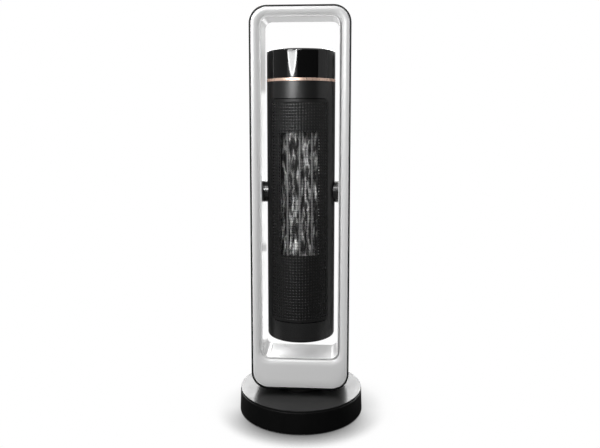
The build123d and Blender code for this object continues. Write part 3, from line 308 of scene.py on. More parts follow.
# Each card has its first and last bearing, its lowest and highest place, its radius and its light.
card("card_dark_front", -9, 61, 0.0, 1.60, 1.50, 0.04)
card("card_dim_right", 61, 102, 0.0, 1.60, 1.50, 0.60)
card("card_dim_left", -100, -42, 0.0, 1.60, 1.50, 0.28)
card("card_dim_low_left", -42, -9, 0.0, 0.61, 1.50, 0.10)
card("card_low", -112, 102, 0.0, 0.25, 0.50, 0.03)
card("card_panel_glow", -32, -6, 0.12, 0.21, 0.49, 0.45)
card("card_ring_glow", -36, -16, 0.615, 0.662, 1.40, 10.0)
card("card_wedge_edge", -41, -9.2, 0.674, 0.772, 1.42, 38.0, tip=-25.2)
card("card_wedge_middle", -37, -13.5, 0.688, 0.772, 1.40, 22.0, tip=-25.2)
card("card_soft_top", -9.5, -1.2, 1.03, 1.18, 1.38, 24.0)
card("card_small_top", 0.4, 1.6, 1.07, 1.12, 1.38, 60.0)
card("card_pivot_left", -13, -9.5, 1.06, 1.30, 1.38, 140.0)
card("card_pivot_right", 1.6, 3.4, 1.06, 1.30, 1.38, 3.0)
card("card_back_right", 120, 177.9, 1.26, 2.10, 3.00, 27.0)
card("card_back_left", 187.6, 240, 1.26, 2.10, 3.00, 23.0)
card("card_wall_high", 171.5, 177.5, 0.0, 0.62, 1.50, 2.4)
card("card_wall_low", 180, 187, 0.0, 0.213, 0.35, 2.4)
card("card_fin_spark", -14, 6, 1.85, 2.60, 1.40, 18.0)


# Base: a low round pot moulded in black plastic, with a smooth top plate snapped into its rim.
# The plate has a satin sheen, in which the frame and the light behind the heater show blurred.
SHARP_ANGLE = math.radians(32)
MERGE_DISTANCE = 1e-6


def smooth_copy(node):
    """A copy of a piece of the frame with its triangles joined, so that round faces look round."""
    source = frame["nodes"][node]
    mesh = source.data.copy()
    mesh.name = node + "_skin"
    form = bmesh.new()
    form.from_mesh(mesh)
    bmesh.ops.remove_doubles(form, verts=form.verts, dist=MERGE_DISTANCE)
    for edge in form.edges:
        edge.smooth = len(edge.link_faces) == 2 and edge.calc_face_angle(math.pi) < SHARP_ANGLE
    for face in form.faces:
        face.smooth = True
    form.to_mesh(mesh)
    form.free()
    if mesh.attributes.get("custom_normal"):
        mesh.attributes.remove(mesh.attributes["custom_normal"])
    piece = bpy.data.objects.new(node + "_skin", mesh)
    bpy.context.scene.collection.objects.link(piece)
    return piece


def body_name(node):
    """The body that a piece of the frame moves with."""
    for body, members in frame["record"]["behaviour"]["bodies"].items():
        if node in members:
            return body


def paint(finish, *nodes):
    """Pieces of the frame that stay as they are get that finish."""
    for node in nodes:
        for holder in frame["nodes"][node].material_slots:
            holder.material = finish.material


def wear(piece, finish, node):
    """A skin in that finish stands for a piece of the frame and moves with its body."""
    piece.data.materials.clear()
    piece.data.materials.append(finish.material)
    paint(finish, node)
    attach(piece, body_name(node))
    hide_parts(node)


def dress(finish, *nodes):
    """Round pieces get a smooth skin, whose wide faces stay true beside their rounded edges."""
    for node in nodes:
        skin = smooth_copy(node)
        even = skin.modifiers.new("even_shading", "WEIGHTED_NORMAL")
        even.keep_sharp = True
        wear(skin, finish, node)


def base_pot_finish():
    finish = Finish("base_pot")
    cloud = finish.noise(14, 3)
    smear = finish.noise(60, 4, 0.6, (1, 1, 0.3))
    colour = finish.mix(cloud, grey(0.0025), grey(0.0045))
    rough = finish.ramp(smear, 0.3, 0.75, 0.34, 0.44)
    relief = finish.bump(finish.noise(900, 2), 0.00001, 0.3)
    return finish.surface(Base_Color=colour, Roughness=rough, IOR=1.2, Normal=relief)


def base_plate_finish():
    finish = Finish("base_plate")
    cloud = finish.noise(9, 3)
    smear = finish.noise(35, 4, 0.6)
    colour = finish.mix(cloud, grey(0.003), grey(0.006))
    rough = finish.ramp(smear, 0.3, 0.75, 0.28, 0.33)
    return finish.surface(Base_Color=colour, Roughness=rough, IOR=1.29)


base_pot = base_pot_finish()
dress(base_pot, "base_shell")
dress(base_plate_finish(), "base_cover")


# Underside: a dull black floor plate that closes the pot, rubber feet pressed into its recesses,
# plated screws that come up through it, and a cast ballast ring that lies inside.
def dull_black_finish():
    finish = Finish("dull_black")
    cloud = finish.noise(25, 4)
    grain = finish.noise(1500, 2, 0.7)
    colour = finish.mix(cloud, grey(0.014), grey(0.026))
    rough = finish.ramp(grain, 0.3, 0.7, 0.55, 0.72)
    relief = finish.bump(grain, 0.00006, 0.5)
    return finish.surface(Base_Color=colour, Roughness=rough, Specular_IOR_Level=0.35, Normal=relief)


def rubber_finish():
    finish = Finish("rubber")
    cloud = finish.noise(40, 4)
    dust = finish.noise(420, 4, 0.7) > 0.58
    colour = finish.mix(cloud, grey(0.018), grey(0.034))
    colour = finish.mix(dust * 0.25, colour, grey(0.07))
    rough = finish.ramp(cloud, 0.3, 0.7, 0.78, 0.92)
    relief = finish.bump(finish.noise(700, 3), 0.00008, 0.6)
    return finish.surface(Base_Color=colour, Roughness=rough, Specular_IOR_Level=0.3, Normal=relief)


def plated_steel_finish():
    finish = Finish("plated_steel")
    spangle = finish.noise(160, 3)
    brushed = finish.noise(900, 3, 0.6, (1, 1, 0.05))
    colour = finish.mix(spangle, grey(0.30, (1, 1, 1.03)), grey(0.42, (1, 0.99, 0.96)))
    rough = finish.ramp(brushed, 0.25, 0.75, 0.46, 0.60)
    relief = finish.bump(brushed, 0.00002, 0.5)
    return finish.surface(Base_Color=colour, Roughness=rough, Metallic=1.0, Normal=relief)


def casting_finish():
    finish = Finish("casting")
    sand = finish.noise(600, 5, 0.7)
    rust = finish.noise(30, 5, 0.7) > 0.62
    colour = finish.mix(sand, grey(0.05), grey(0.12))
    colour = finish.mix(rust * 0.4, colour, (0.13, 0.07, 0.04, 1))
    rough = finish.ramp(sand, 0.2, 0.8, 0.55, 0.8)
    relief = finish.bump(sand, 0.0002, 0.7)
    return finish.surface(Base_Color=colour, Roughness=rough, Metallic=0.6, Normal=relief)


dull_black = dull_black_finish()
rubber = rubber_finish()
plated_steel = plated_steel_finish()
dress(dull_black, "base_floor_plate")
dress(rubber, "rubber_feet")
dress(plated_steel, "base_screws")
paint(casting_finish(), "ballast_ring")


# Swing drive: a geared motor under the deck turns a nylon pinion, and the nylon gear under the
# turntable runs in a nylon bush that is pressed into the deck.
def nylon_finish():
    finish = Finish("nylon")
    cloud = finish.noise(50, 3)
    colour = finish.mix(cloud, (0.66, 0.64, 0.56, 1), (0.76, 0.74, 0.68, 1))
    rough = finish.ramp(cloud, 0.3, 0.7, 0.34, 0.46)
    relief = finish.bump(finish.noise(500, 2), 0.00003, 0.5)
    return finish.surface(Base_Color=colour, Roughness=rough, Normal=relief)


def motor_can_finish():
    finish = Finish("motor_can")
    drawn = finish.noise(500, 3, 0.6, (1, 1, 0.04))
    cloud = finish.noise(30, 3)
    colour = finish.mix(cloud, grey(0.36), grey(0.48))
    rough = finish.ramp(drawn, 0.25, 0.75, 0.30, 0.45)
    relief = finish.bump(drawn, 0.00002, 0.6)
    return finish.surface(Base_Color=colour, Roughness=rough, Metallic=0.9, Normal=relief)


nylon = nylon_finish()
motor_can = motor_can_finish()
paint(motor_can, "swing_motor")
dress(nylon, "swing_pinion", "turntable_gear", "turntable_bearing")


# Tip-over switch: a black housing on the floor plate with a nylon plunger that the floor holds in
# and a small coil spring that drops it when the heater is lifted or falls.
dress(dull_black, "tip_switch_housing")
dress(nylon, "tip_switch_plunger")
paint(plated_steel, "tip_switch_spring")


# Back of the base: a rubber gland where the lead would enter, and beside it the power rocker in
# its bezel, both moulded in black with a light gloss.
def gloss_black_finish():
    finish = Finish("gloss_black")
    cloud = finish.noise(12, 3)
    smear = finish.noise(45, 4, 0.6)
    colour = finish.mix(cloud, grey(0.002), grey(0.005))
    rough = finish.ramp(smear, 0.3, 0.75, 0.035, 0.075)
    return finish.surface(Base_Color=colour, Roughness=rough, Specular_IOR_Level=0.45)


gloss_black = gloss_black_finish()
dress(rubber, "cord_gland")
dress(gloss_black, "rocker_housing", "power_rocker")


# Turntable: a moulded black disc that turns on the base and carries the frame through a steel
# bracket, screwed down from inside the frame's foot.
dress(base_pot, "turntable")
paint(plated_steel, "foot_bracket", "bracket_screws")


# Frame: two white shells moulded in satin plastic, screwed together from behind, with a separate
# liner round the opening whose lip stands proud of a thin dark seam.
FRAME_CORNER = 0.0278
OPENING_CORNER = 0.013
LINER_WALL = 0.0016
FACE_EDGE = 0.0042
CUT_PITCH = 0.002
SIDE_CUTS = 19
FOOT_CUTS = 39
TOP_CUTS = 23
CROWN_REACH = 0.012
CROWN_FADE = 0.005
CROWN_INNER_WIDTH = 0.015
CROWN_INNER_SLOPE = 0.92
CROWN_OUTER_WIDTH = 0.009
CROWN_OUTER_SLOPE = 0.42
CROWN_FOOT_WIDTH = 0.017
CROWN_FOOT_SLOPE = 0.34
CROWN_FOOT_HEIGHT = 0.020
RIM_HIGHLIGHT_START = 0.00153
RIM_HIGHLIGHT_END = 0.0034
LEDGE_HEIGHT = 0.108
LEDGE_FADE = 0.012
LEDGE_DULLING = 0.05


def white_shell_finish():
    finish = Finish("white_shell")
    cloud = finish.noise(8, 3)
    grain = finish.noise(1800, 2, 0.7)
    edge = finish.node("ShaderNodeAttribute", {"attribute_name": "edge_distance"})["Fac"]
    body = finish.mix(cloud, grey(0.69), grey(0.725))
    # Within a few millimetres of the outer edge the colour is painted near white: a painted highlight along
    # the rounded rim.
    colour = finish.mix(finish.ramp(edge, RIM_HIGHLIGHT_START, RIM_HIGHLIGHT_END), grey(0.93), body)
    rough = finish.ramp(grain, 0.3, 0.7, 0.26, 0.32)
    relief = finish.bump(grain, 0.00003, 0.3)
    return finish.surface(Base_Color=colour, Roughness=rough, Normal=relief)


def inside_distance(x, z, half_width, low, high, corner):
    """How far a point lies inside a rounded rectangle. It is less than zero outside."""
    out_x = abs(x) - (half_width - corner)
    out_z = abs(z - (low + high) / 2) - ((high - low) / 2 - corner)
    outside = math.hypot(max(out_x, 0), max(out_z, 0))
    return corner - outside - min(max(out_x, out_z), 0)


def crown_depth(distance, width, slope):
    """How far a face has fallen away, that far from an edge where it has that slope."""
    return slope * width / 2 * max(0, 1 - distance / width) ** 2


def cut_face(form, face, front, low, high):
    """Cuts a shell's face into narrow strips along its sides, foot and top."""
    cuts = []
    for i in range(SIDE_CUTS):
        for side in (-1, 1):
            cuts.append(((side * (high.x - i * CUT_PITCH), 0, 0), (1, 0, 0)))
    for i in range(FOOT_CUTS):
        cuts.append(((0, 0, low.z + i * CUT_PITCH), (0, 0, 1)))
    for i in range(TOP_CUTS):
        cuts.append(((0, 0, high.z - i * CUT_PITCH), (0, 0, 1)))
    for point, normal in cuts:
        faces = [f for f in form.faces if front * f.calc_center_median().y < face + FACE_EDGE]
        edges = {e for f in faces for e in f.edges}
        verts = {v for f in faces for v in f.verts}
        geometry = faces + list(edges) + list(verts)
        bmesh.ops.bisect_plane(form, geom=geometry, dist=MERGE_DISTANCE, plane_co=point, plane_no=normal)


def crowned_shell(node, front):
    """A smooth copy of a frame shell whose face falls away softly towards its edges.

    At the outer edge it does so over a wider strip up to the height of the foot, and that ends
    at twice this height. The distance from the outer edge is kept for the painted rim highlight.
    """
    piece = smooth_copy(node)
    shell_low, shell_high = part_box(node)
    liner_low, liner_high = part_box("opening_liner")
    opening_half = liner_high.x - LINER_WALL
    opening_low = liner_low.z + LINER_WALL
    opening_high = liner_high.z - LINER_WALL
    face = min(front * shell_low.y, front * shell_high.y)
    form = bmesh.new()
    form.from_mesh(piece.data)
    cut_face(form, face, front, shell_low, shell_high)
    distances = []
    for vert in form.verts:
        x, y, z = vert.co
        outer = inside_distance(x, z, shell_high.x, shell_low.z, shell_high.z, FRAME_CORNER)
        inner = -inside_distance(x, z, opening_half, opening_low, opening_high, OPENING_CORNER)
        foot = min(1, max(0, 2 - (z - shell_low.z) / CROWN_FOOT_HEIGHT))
        width = CROWN_OUTER_WIDTH + (CROWN_FOOT_WIDTH - CROWN_OUTER_WIDTH) * foot
        slope = CROWN_OUTER_SLOPE + (CROWN_FOOT_SLOPE - CROWN_OUTER_SLOPE) * foot
        depth = crown_depth(inner, CROWN_INNER_WIDTH, CROWN_INNER_SLOPE) + crown_depth(outer, width, slope)
        share = min(1, max(0, (face + CROWN_REACH - front * y) / CROWN_FADE))
        vert.co.y += front * depth * share
        distances.append(outer)
    for edge in form.edges:
        edge.smooth = len(edge.link_faces) == 2 and edge.calc_face_angle(math.pi) < SHARP_ANGLE
    form.to_mesh(piece.data)
    form.free()
    holder = piece.data.attributes.new("edge_distance", "FLOAT", "POINT")
    holder.data.foreach_set("value", distances)
    return piece


def white_liner_finish():
    finish = Finish("white_liner")
    cloud = finish.noise(8, 3)
    colour = finish.mix(cloud, grey(0.82), grey(0.86))
    height = finish.node("ShaderNodeSeparateXYZ", {}, {"Vector": finish.place()})["Z"]
    dull = finish.ramp(height, LEDGE_HEIGHT, LEDGE_HEIGHT + LEDGE_FADE, LEDGE_DULLING, 0.0)
    rough = finish.ramp(finish.noise(40, 3), 0.3, 0.7, 0.14, 0.19) + dull
    relief = finish.bump(finish.noise(1500, 2), 0.00002, 0.1)
    return finish.surface(Base_Color=colour, Roughness=rough, IOR=1.6, Normal=relief)


white_shell = white_shell_finish()
for shell, front in (("frame_front_shell", 1), ("frame_rear_shell", -1)):
    skin = crowned_shell(shell, front)
    wear(skin, white_shell, shell)
dress(white_liner_finish(), "opening_liner")
dress(plated_steel, "frame_screws")


# Outer band: a strip moulded in satin black plastic, snapped into the groove that the two white
# shells leave between them all round the frame.
def band_finish():
    finish = Finish("band")
    cloud = finish.noise(20, 3)
    colour = finish.mix(cloud, grey(0.002), grey(0.004))
    rough = finish.ramp(finish.noise(900, 2), 0.3, 0.7, 0.30, 0.38)
    return finish.surface(Base_Color=colour, Roughness=rough, IOR=1.2)


dress(band_finish(), "outer_band")


# Tilt pivots: a flange bush in each wall of the frame and a hollow trunnion that turns in it, both
# moulded in black, and the sleeved lead that comes up through the frame and into the drum.
def sleeve_finish():
    finish = Finish("sleeve")
    cloud = finish.noise(60, 3)
    colour = finish.mix(cloud, grey(0.05), grey(0.09))
    rough = finish.ramp(cloud, 0.3, 0.7, 0.5, 0.62)
    return finish.surface(Base_Color=colour, Roughness=rough)


paint(sleeve_finish(), "frame_wiring")


def pivot_finish():
    finish = Finish("pivot_black")
    cloud = finish.noise(60, 3)
    colour = finish.mix(cloud, grey(0.016), grey(0.024))
    rough = finish.ramp(cloud, 0.3, 0.7, 0.20, 0.27)
    return finish.surface(Base_Color=colour, Roughness=rough, Specular_IOR_Level=0.5)


dress(pivot_finish(), "left_pivot_bush", "right_pivot_bush", "left_trunnion", "right_trunnion")


# Drum walls: a front and a rear half moulded in fine-grained matt black, screwed together from
# behind, with a matt cap plugged into the lower end.
def matt_black_finish():
    finish = Finish("matt_black")
    cloud = finish.noise(10, 3)
    grain = finish.noise(1400, 2, 0.7)
    colour = finish.mix(cloud, grey(0.005, (1, 1.01, 1.03)), grey(0.009, (1, 1.01, 1.03)))
    rough = finish.ramp(grain, 0.3, 0.7, 0.27, 0.35)
    relief = finish.bump(grain, 0.00004, 0.35)
    return finish.surface(Base_Color=colour, Roughness=rough, Specular_IOR_Level=0.5, Normal=relief)


matt_black = matt_black_finish()
dress(matt_black, "drum_front_shell", "drum_rear_shell", "drum_bottom_cap")
dress(plated_steel, "drum_screws")


# Copper ring: a narrow moulded ring, plated in a copper colour and seated between the drum walls
# and the gloss cap.
def copper_finish():
    finish = Finish("copper")
    cloud = finish.noise(60, 3)
    colour = finish.mix(cloud, (0.80, 0.54, 0.42, 1), (0.88, 0.64, 0.52, 1))
    rough = finish.ramp(finish.noise(700, 2, 0.6, (1, 1, 0.1)), 0.3, 0.7, 0.26, 0.36)
    return finish.surface(Base_Color=colour, Roughness=rough, Metallic=0.55)


dress(copper_finish(), "accent_ring")


# Cap: moulded in gloss black, with a smoked window for the display and four round keys let into
# the front of its top, over the control board and its push switches.
def smoke_finish():
    finish = Finish("smoke")
    cloud = finish.noise(20, 3)
    colour = finish.mix(cloud, grey(0.010), grey(0.016))
    rough = finish.ramp(cloud, 0.3, 0.7, 0.02, 0.05)
    return finish.surface(Base_Color=colour, Roughness=rough, Coat_Weight=0.6, Coat_Roughness=0.02)


def board_finish():
    finish = Finish("board")
    cuts = {"feature": "DISTANCE_TO_EDGE", "distance": "CHEBYCHEV"}
    point = finish.place((260, 260, 260))
    cells = finish.node("ShaderNodeTexVoronoi", cuts, {"Vector": point, "Scale": 1.0})["Distance"]
    track = finish.ramp(cells, 0.04, 0.10)
    colour = finish.mix(track, (0.03, 0.17, 0.08, 1), (0.02, 0.10, 0.045, 1))
    rough = finish.ramp(track, 0, 1, 0.25, 0.38)
    return finish.surface(Base_Color=colour, Roughness=rough, Normal=finish.bump(track, 0.00004, 0.4))


dress(gloss_black, "top_cap", "power_key", "mode_key", "swing_key", "timer_key")
dress(smoke_finish(), "display_lens")
paint(board_finish(), "control_board", "power_board")
paint(dull_black, "tact_switches")


# Marks on the keys: plain signs for power, heat, swing and timer, printed on the keys in white ink
# that is a few hundredths of a millimetre thick.
MARK_LINE = 0.00045
MARK_HEIGHT = 0.00006
MARK_SHARE = 0.50
BOW_STEPS = 20
WAVE_SWAY = 0.18
WAVE_BEND = 3.1


def mark_finish():
    finish = Finish("mark_white")
    ink = finish.noise(2500, 3, 0.6)
    colour = finish.mix(ink, grey(0.62), grey(0.80))
    rough = finish.ramp(ink, 0.3, 0.7, 0.45, 0.60)
    return finish.surface(Base_Color=colour, Roughness=rough)


def bow(reach, first, last):
    """Points of an arc round the middle of a key, between two turns in degrees."""
    turns = [math.radians(first + (last - first) * i / BOW_STEPS) for i in range(BOW_STEPS + 1)]
    return [(reach * math.cos(turn), reach * math.sin(turn)) for turn in turns]


def wave(middle):
    """Points of an upright wave, as warm air rises."""
    heights = (-1, -0.6, -0.2, 0.2, 0.6, 1)
    return [(middle + WAVE_SWAY * math.sin(height * WAVE_BEND), height) for height in heights]


def mark(key, finish, *lines):
    """Lines of ink on a key. Their points are shares of the room on it."""
    low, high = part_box(key)
    centre = (low + high) / 2
    room = (high.x - low.x) / 2 * MARK_SHARE
    points = []
    faces = []
    for line in lines:
        path = [Vector((room * x, room * y)) for x, y in line]
        for i, point in enumerate(path):
            along = (path[min(i + 1, len(path) - 1)] - path[max(i - 1, 0)]).normalized()
            across = Vector((-along.y, along.x)) * MARK_LINE / 2
            for side in (point + across, point - across):
                points.append((centre.x + side.x, centre.y + side.y, high.z + MARK_HEIGHT))
        first = len(points) - 2 * len(path)
        faces += [(k, k + 1, k + 3, k + 2) for k in range(first, len(points) - 2, 2)]
    piece = mesh_piece(key.replace("key", "mark"), points, faces)
    piece.data.materials.append(finish.material)
    sheet = piece.modifiers.new("ink", "SOLIDIFY")
    sheet.thickness = MARK_HEIGHT
    sheet.offset = -1
    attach(piece, body_name(key))


ink = mark_finish()
mark("power_key", ink, bow(1, 125, 415), [(0, 0.2), (0, 1.2)])
mark("mode_key", ink, wave(-0.7), wave(0), wave(0.7))
left_arrow = [(-1.25, 0.2), (-0.94, -0.34), (-0.45, 0.02)]
right_arrow = [(1.25, 0.2), (0.94, -0.34), (0.45, 0.02)]
mark("swing_key", ink, bow(1, 200, 340), left_arrow, right_arrow)
mark("timer_key", ink, bow(1, 0, 360), [(0, 0.62), (0, 0), (0.45, -0.28)])


# Rear intake: a louvred cover moulded in matt black, clipped into the rear wall, that pulls off
# with the grey net of the dust filter behind it.
def filter_finish():
    finish = Finish("filter_net")
    values = {"Vector": finish.place((1100, 1100, 1100)), "Scale": 0.32, "Distortion": 0.4}
    upright = finish.node("ShaderNodeTexWave", {"wave_type": "BANDS", "bands_direction": "Z"}, values)["Fac"]
    across = finish.node("ShaderNodeTexWave", {"wave_type": "BANDS", "bands_direction": "X"}, values)["Fac"]
    weave = upright * across
    colour = finish.mix(weave, grey(0.03), grey(0.16))
    rough = finish.ramp(weave, 0, 1, 0.95, 0.75)
    return finish.surface(Base_Color=colour, Roughness=rough, Normal=finish.bump(weave, 0.0002, 0.8))


dress(matt_black, "intake_cover")
paint(filter_finish(), "dust_filter")


# Blower: a tall aluminium wheel between two black plates, its motor below and a brass bush above,
# in a bent steel scroll.
def dull_aluminium_finish():
    finish = Finish("dull_aluminium")
    drawn = finish.noise(700, 3, 0.6, (1, 1, 0.03))
    cloud = finish.noise(25, 3)
    colour = finish.mix(cloud, grey(0.42), grey(0.56, (0.99, 1, 1.01)))
    rough = finish.ramp(drawn, 0.25, 0.75, 0.34, 0.50)
    relief = finish.bump(drawn, 0.00003, 0.5)
    return finish.surface(Base_Color=colour, Roughness=rough, Metallic=1.0, Normal=relief)


def brass_finish():
    finish = Finish("brass")
    cloud = finish.noise(120, 3)
    colour = finish.mix(cloud, (0.68, 0.50, 0.22, 1), (0.80, 0.62, 0.32, 1))
    rough = finish.ramp(cloud, 0.3, 0.7, 0.24, 0.38)
    return finish.surface(Base_Color=colour, Roughness=rough, Metallic=1.0)


brass = brass_finish()
paint(dull_black, "blower_lower_plate", "blower_upper_plate")
paint(brass, "blower_bearing")
paint(motor_can, "blower_motor")
paint(plated_steel, "blower_shaft", "blower_scroll")
paint(dull_aluminium_finish(), "blower_wheel")


# Heater: thin folded aluminium fins between upright ceramic bars in aluminium tubes, set in a
# moulded black frame with toothed edges, with brass terminals and a round thermal cut-out.
FIN_PITCH = 0.0021
FIN_DEPTH = 0.0040
FIN_INSET = 0.0014
FIN_SHEET = 0.0002
FIN_COLUMNS = 11
FIN_FOLD_STEPS = 8
FIN_TWIST = 0.0040
FIN_TWIST_ACROSS = 230
FIN_TWIST_ALONG = 42
FIN_SEED = 1.0
FIN_SEED_STEP = 7.3
BAR_HALF = 0.0016
GROWN_MERGE = 1e-5


def fin_finish():
    finish = Finish("fin_aluminium")
    # The colour is painted in upright streaks: near white where the streak noise is high, a painted glint,
    # and dark grey elsewhere, painted shade.
    streak = finish.noise(240, 3, 0.6, (1, 1, 0.17))
    painted_glint = finish.ramp(streak, 0.53, 0.59)
    dim = finish.mix(finish.ramp(streak, 0.40, 0.57), grey(0.025), grey(0.15))
    colour = finish.mix(painted_glint, dim, grey(0.97))
    rough = finish.ramp(painted_glint, 0, 1, 0.50, 0.32)
    return finish.surface(Base_Color=colour, Roughness=rough, Metallic=0.8)


def bar_finish():
    finish = Finish("bar_aluminium")
    drawn = finish.noise(700, 3, 0.6, (1, 1, 0.03))
    colour = finish.mix(finish.noise(60, 3), grey(0.16), grey(0.26))
    rough = finish.ramp(drawn, 0.25, 0.75, 0.40, 0.55)
    return finish.surface(Base_Color=colour, Roughness=rough, Metallic=0.3)


def growth(title, **kinds):
    """A new geometry tree with those inputs: its nodes, and the wires of its inputs."""
    tree = bpy.data.node_groups.new(title, "GeometryNodeTree")
    for name, kind in kinds.items():
        label = name.replace("_", " ")
        tree.interface.new_socket(label, in_out="INPUT", socket_type="NodeSocket" + kind)
    tree.interface.new_socket("Geometry", in_out="OUTPUT", socket_type="NodeSocketGeometry")
    plan = Finish(title, tree)
    return plan, plan.node("NodeGroupInput")


def grown(plan, shape, finish):
    """Ends a geometry tree: its copies made real, in their finish."""
    real = plan.node("GeometryNodeRealizeInstances", {}, {"Geometry": shape})["Geometry"]
    values = {"Geometry": real, "Distance": GROWN_MERGE}
    merged = plan.node("GeometryNodeMergeByDistance", {}, values)["Geometry"]
    coated = plan.node("GeometryNodeSetMaterial", {}, {"Geometry": merged, "Material": finish})["Geometry"]
    plan.node("NodeGroupOutput", {}, {"Geometry": coated})
    return plan.tree


def folded_strip_tree():
    """An upright strip folded like a concertina, with a soft random twist in its folds."""
    plan, size = growth("folded_strip", Width="Float", Height="Float", Pitch="Float", Depth="Float",
                        Twist="Float", Seed="Float", Across="Int", Along="Int", Finish="Material")
    values = {"Size X": size["Width"], "Size Y": size["Height"],
              "Vertices X": size["Across"], "Vertices Y": size["Along"]}
    grid = plan.node("GeometryNodeMeshGrid", {}, values)["Mesh"]
    place = plan.node("GeometryNodeInputPosition")["Position"]
    point = plan.node("ShaderNodeSeparateXYZ", {}, {"Vector": place})
    turn = point["Y"] / size["Pitch"] * (2 * math.pi)
    fold = turn.sum("SINE", turn) * size["Depth"] * 0.5
    values = {"X": point["X"] * FIN_TWIST_ACROSS, "Y": point["Y"] * FIN_TWIST_ALONG, "Z": size["Seed"]}
    spread = plan.node("ShaderNodeCombineXYZ", {}, values)["Vector"]
    noise = plan.node("ShaderNodeTexNoise", {}, {"Vector": spread, "Scale": 1.0, "Detail": 2.0})["Fac"]
    deep = fold + (noise - 0.5) * size["Twist"]
    bent = plan.node("ShaderNodeCombineXYZ", {}, {"X": point["X"], "Y": deep, "Z": point["Y"]})["Vector"]
    strip = plan.node("GeometryNodeSetPosition", {}, {"Geometry": grid, "Position": bent})["Geometry"]
    return grown(plan, strip, size["Finish"])


def grown_mesh(tree, name, inputs):
    """The plain mesh that a geometry tree gives for those inputs."""
    holder = bpy.data.objects.new(name, bpy.data.meshes.new(name))
    bpy.context.scene.collection.objects.link(holder)
    modifier = holder.modifiers.new("grown", "NODES")
    modifier.node_group = tree
    for item in tree.interface.items_tree:
        if item.in_out == "INPUT" and item.name in inputs:
            modifier[item.identifier] = inputs[item.name]
    bpy.context.view_layer.update()
    mesh = bpy.data.meshes.new_from_object(holder.evaluated_get(bpy.context.evaluated_depsgraph_get()))
    holder.modifiers.clear()
    holder.data = mesh
    return holder


def build_fins():
    finish = fin_finish()
    bars_low, bars_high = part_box("ptc_bars")
    fins_low, fins_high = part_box("heater_fins")
    bar_x = (bars_high.x - bars_low.x) / 2 - BAR_HALF
    half_window = fins_high.x
    edges = [(-half_window, -bar_x - BAR_HALF), (-bar_x + BAR_HALF, -BAR_HALF),
             (BAR_HALF, bar_x - BAR_HALF), (bar_x + BAR_HALF, half_window)]
    height = bars_high.z - bars_low.z - FIN_PITCH
    centre_z = (bars_high.z + bars_low.z) / 2
    centre_y = fins_low.y + 0.5 * FIN_DEPTH + FIN_INSET
    inputs = {"Height": height, "Pitch": FIN_PITCH, "Depth": FIN_DEPTH, "Twist": FIN_TWIST,
              "Across": FIN_COLUMNS, "Along": round(height / FIN_PITCH * FIN_FOLD_STEPS) + 1,
              "Finish": finish.material}
    tree = folded_strip_tree()
    form = bmesh.new()
    for index, (left, right) in enumerate(edges):
        inputs["Width"] = right - left
        inputs["Seed"] = FIN_SEED_STEP * index + FIN_SEED
        strip = grown_mesh(tree, "fin_strip", inputs)
        strip.data.transform(Matrix.Translation(((left + right) / 2, centre_y, centre_z)))
        form.from_mesh(strip.data)
        bpy.data.objects.remove(strip)
    for face in form.faces:
        face.material_index = 0
        face.smooth = True
    fins = mesh_piece("folded_fins", [], [])
    form.to_mesh(fins.data)
    form.free()
    fins.data.materials.append(finish.material)
    wall = fins.modifiers.new("wall", "SOLIDIFY")
    wall.thickness = FIN_SHEET
    wall.offset = 1
    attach(fins, "drum")
    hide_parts("heater_fins")
    paint(finish, "heater_fins")


build_fins()
paint(bar_finish(), "ptc_bars")
paint(brass, "heater_terminals")
paint(dull_black, "thermal_cutout", "heater_frame")


# Front grille: a thin curved panel moulded in satin black, let into the front wall with a narrow
# gap round it, and pierced by rows of small holes that widen to a lattice in front of the heater.
GRILLE_PITCH = 0.0051
GRILLE_HOLE = 0.0026
GRILLE_LATTICE_HOLE = 0.0049
GRILLE_HOLE_CORNER = 1.34
GRILLE_COLUMNS = 21
GRILLE_ROWS = 73
GRILLE_SHEET = 0.0009
GRILLE_CORNER = 0.0070
GRILLE_CORNER_STEPS = 4
GRILLE_GAP = 0.0013
GRILLE_SIDE_INSET = 0.0020
GRILLE_END_INSET = 0.0025
GRILLE_MERGE = 2e-5
LATTICE_HALF = 0.0332
LATTICE_LOW = 0.2915
LATTICE_HIGH = 0.5045


def grille_finish():
    finish = Finish("grille_black")
    cloud = finish.noise(10, 3)
    grain = finish.noise(1500, 2, 0.7)
    colour = finish.mix(cloud, grey(0.005), grey(0.009))
    rough = finish.ramp(grain, 0.3, 0.7, 0.32, 0.42)
    relief = finish.bump(grain, 0.00003, 0.3)
    return finish.surface(Base_Color=colour, Roughness=rough, Specular_IOR_Level=0.28, Normal=relief)


def scaled(plan, vector, factor):
    """A vector made longer or shorter."""
    values = {"Vector": vector, "Scale": factor}
    return plan.node("ShaderNodeVectorMath", {"operation": "SCALE"}, values)["Vector"]


def stood_up(plan, shape):
    """A flat shape turned from X and Y into X and Z."""
    values = {"Geometry": shape, "Rotation": (math.pi / 2, 0, 0)}
    return plan.node("GeometryNodeTransform", {}, values)["Geometry"]


def pierced_cell(plan, pitch, hole):
    """One square cell in X and Z with an eight-sided hole, whose every other corner reaches further."""
    values = {"Vertices": 8, "Radius": hole * 0.5}
    circle = plan.node("GeometryNodeMeshCircle", {"fill_type": "NONE"}, values)["Mesh"]
    place = plan.node("GeometryNodeInputPosition")["Position"]
    corner = plan.node("GeometryNodeInputIndex")["Index"] % 2
    reach = corner * (GRILLE_HOLE_CORNER - 1) + 1
    values = {"Geometry": circle, "Position": scaled(plan, place, reach)}
    rim = plan.node("GeometryNodeSetPosition", {}, values)["Geometry"]
    ring = plan.node("GeometryNodeExtrudeMesh", {"mode": "EDGES"}, {"Mesh": rim, "Offset Scale": 0.0})
    point = plan.node("ShaderNodeSeparateXYZ", {}, {"Vector": place})
    widest = place.sum("MAXIMUM", abs(point["X"]), abs(point["Y"]))
    square_place = scaled(plan, place, pitch * 0.5 / widest)
    values = {"Geometry": ring["Mesh"], "Selection": ring["Top"], "Position": square_place}
    square = plan.node("GeometryNodeSetPosition", {}, values)["Geometry"]
    return stood_up(plan, square)


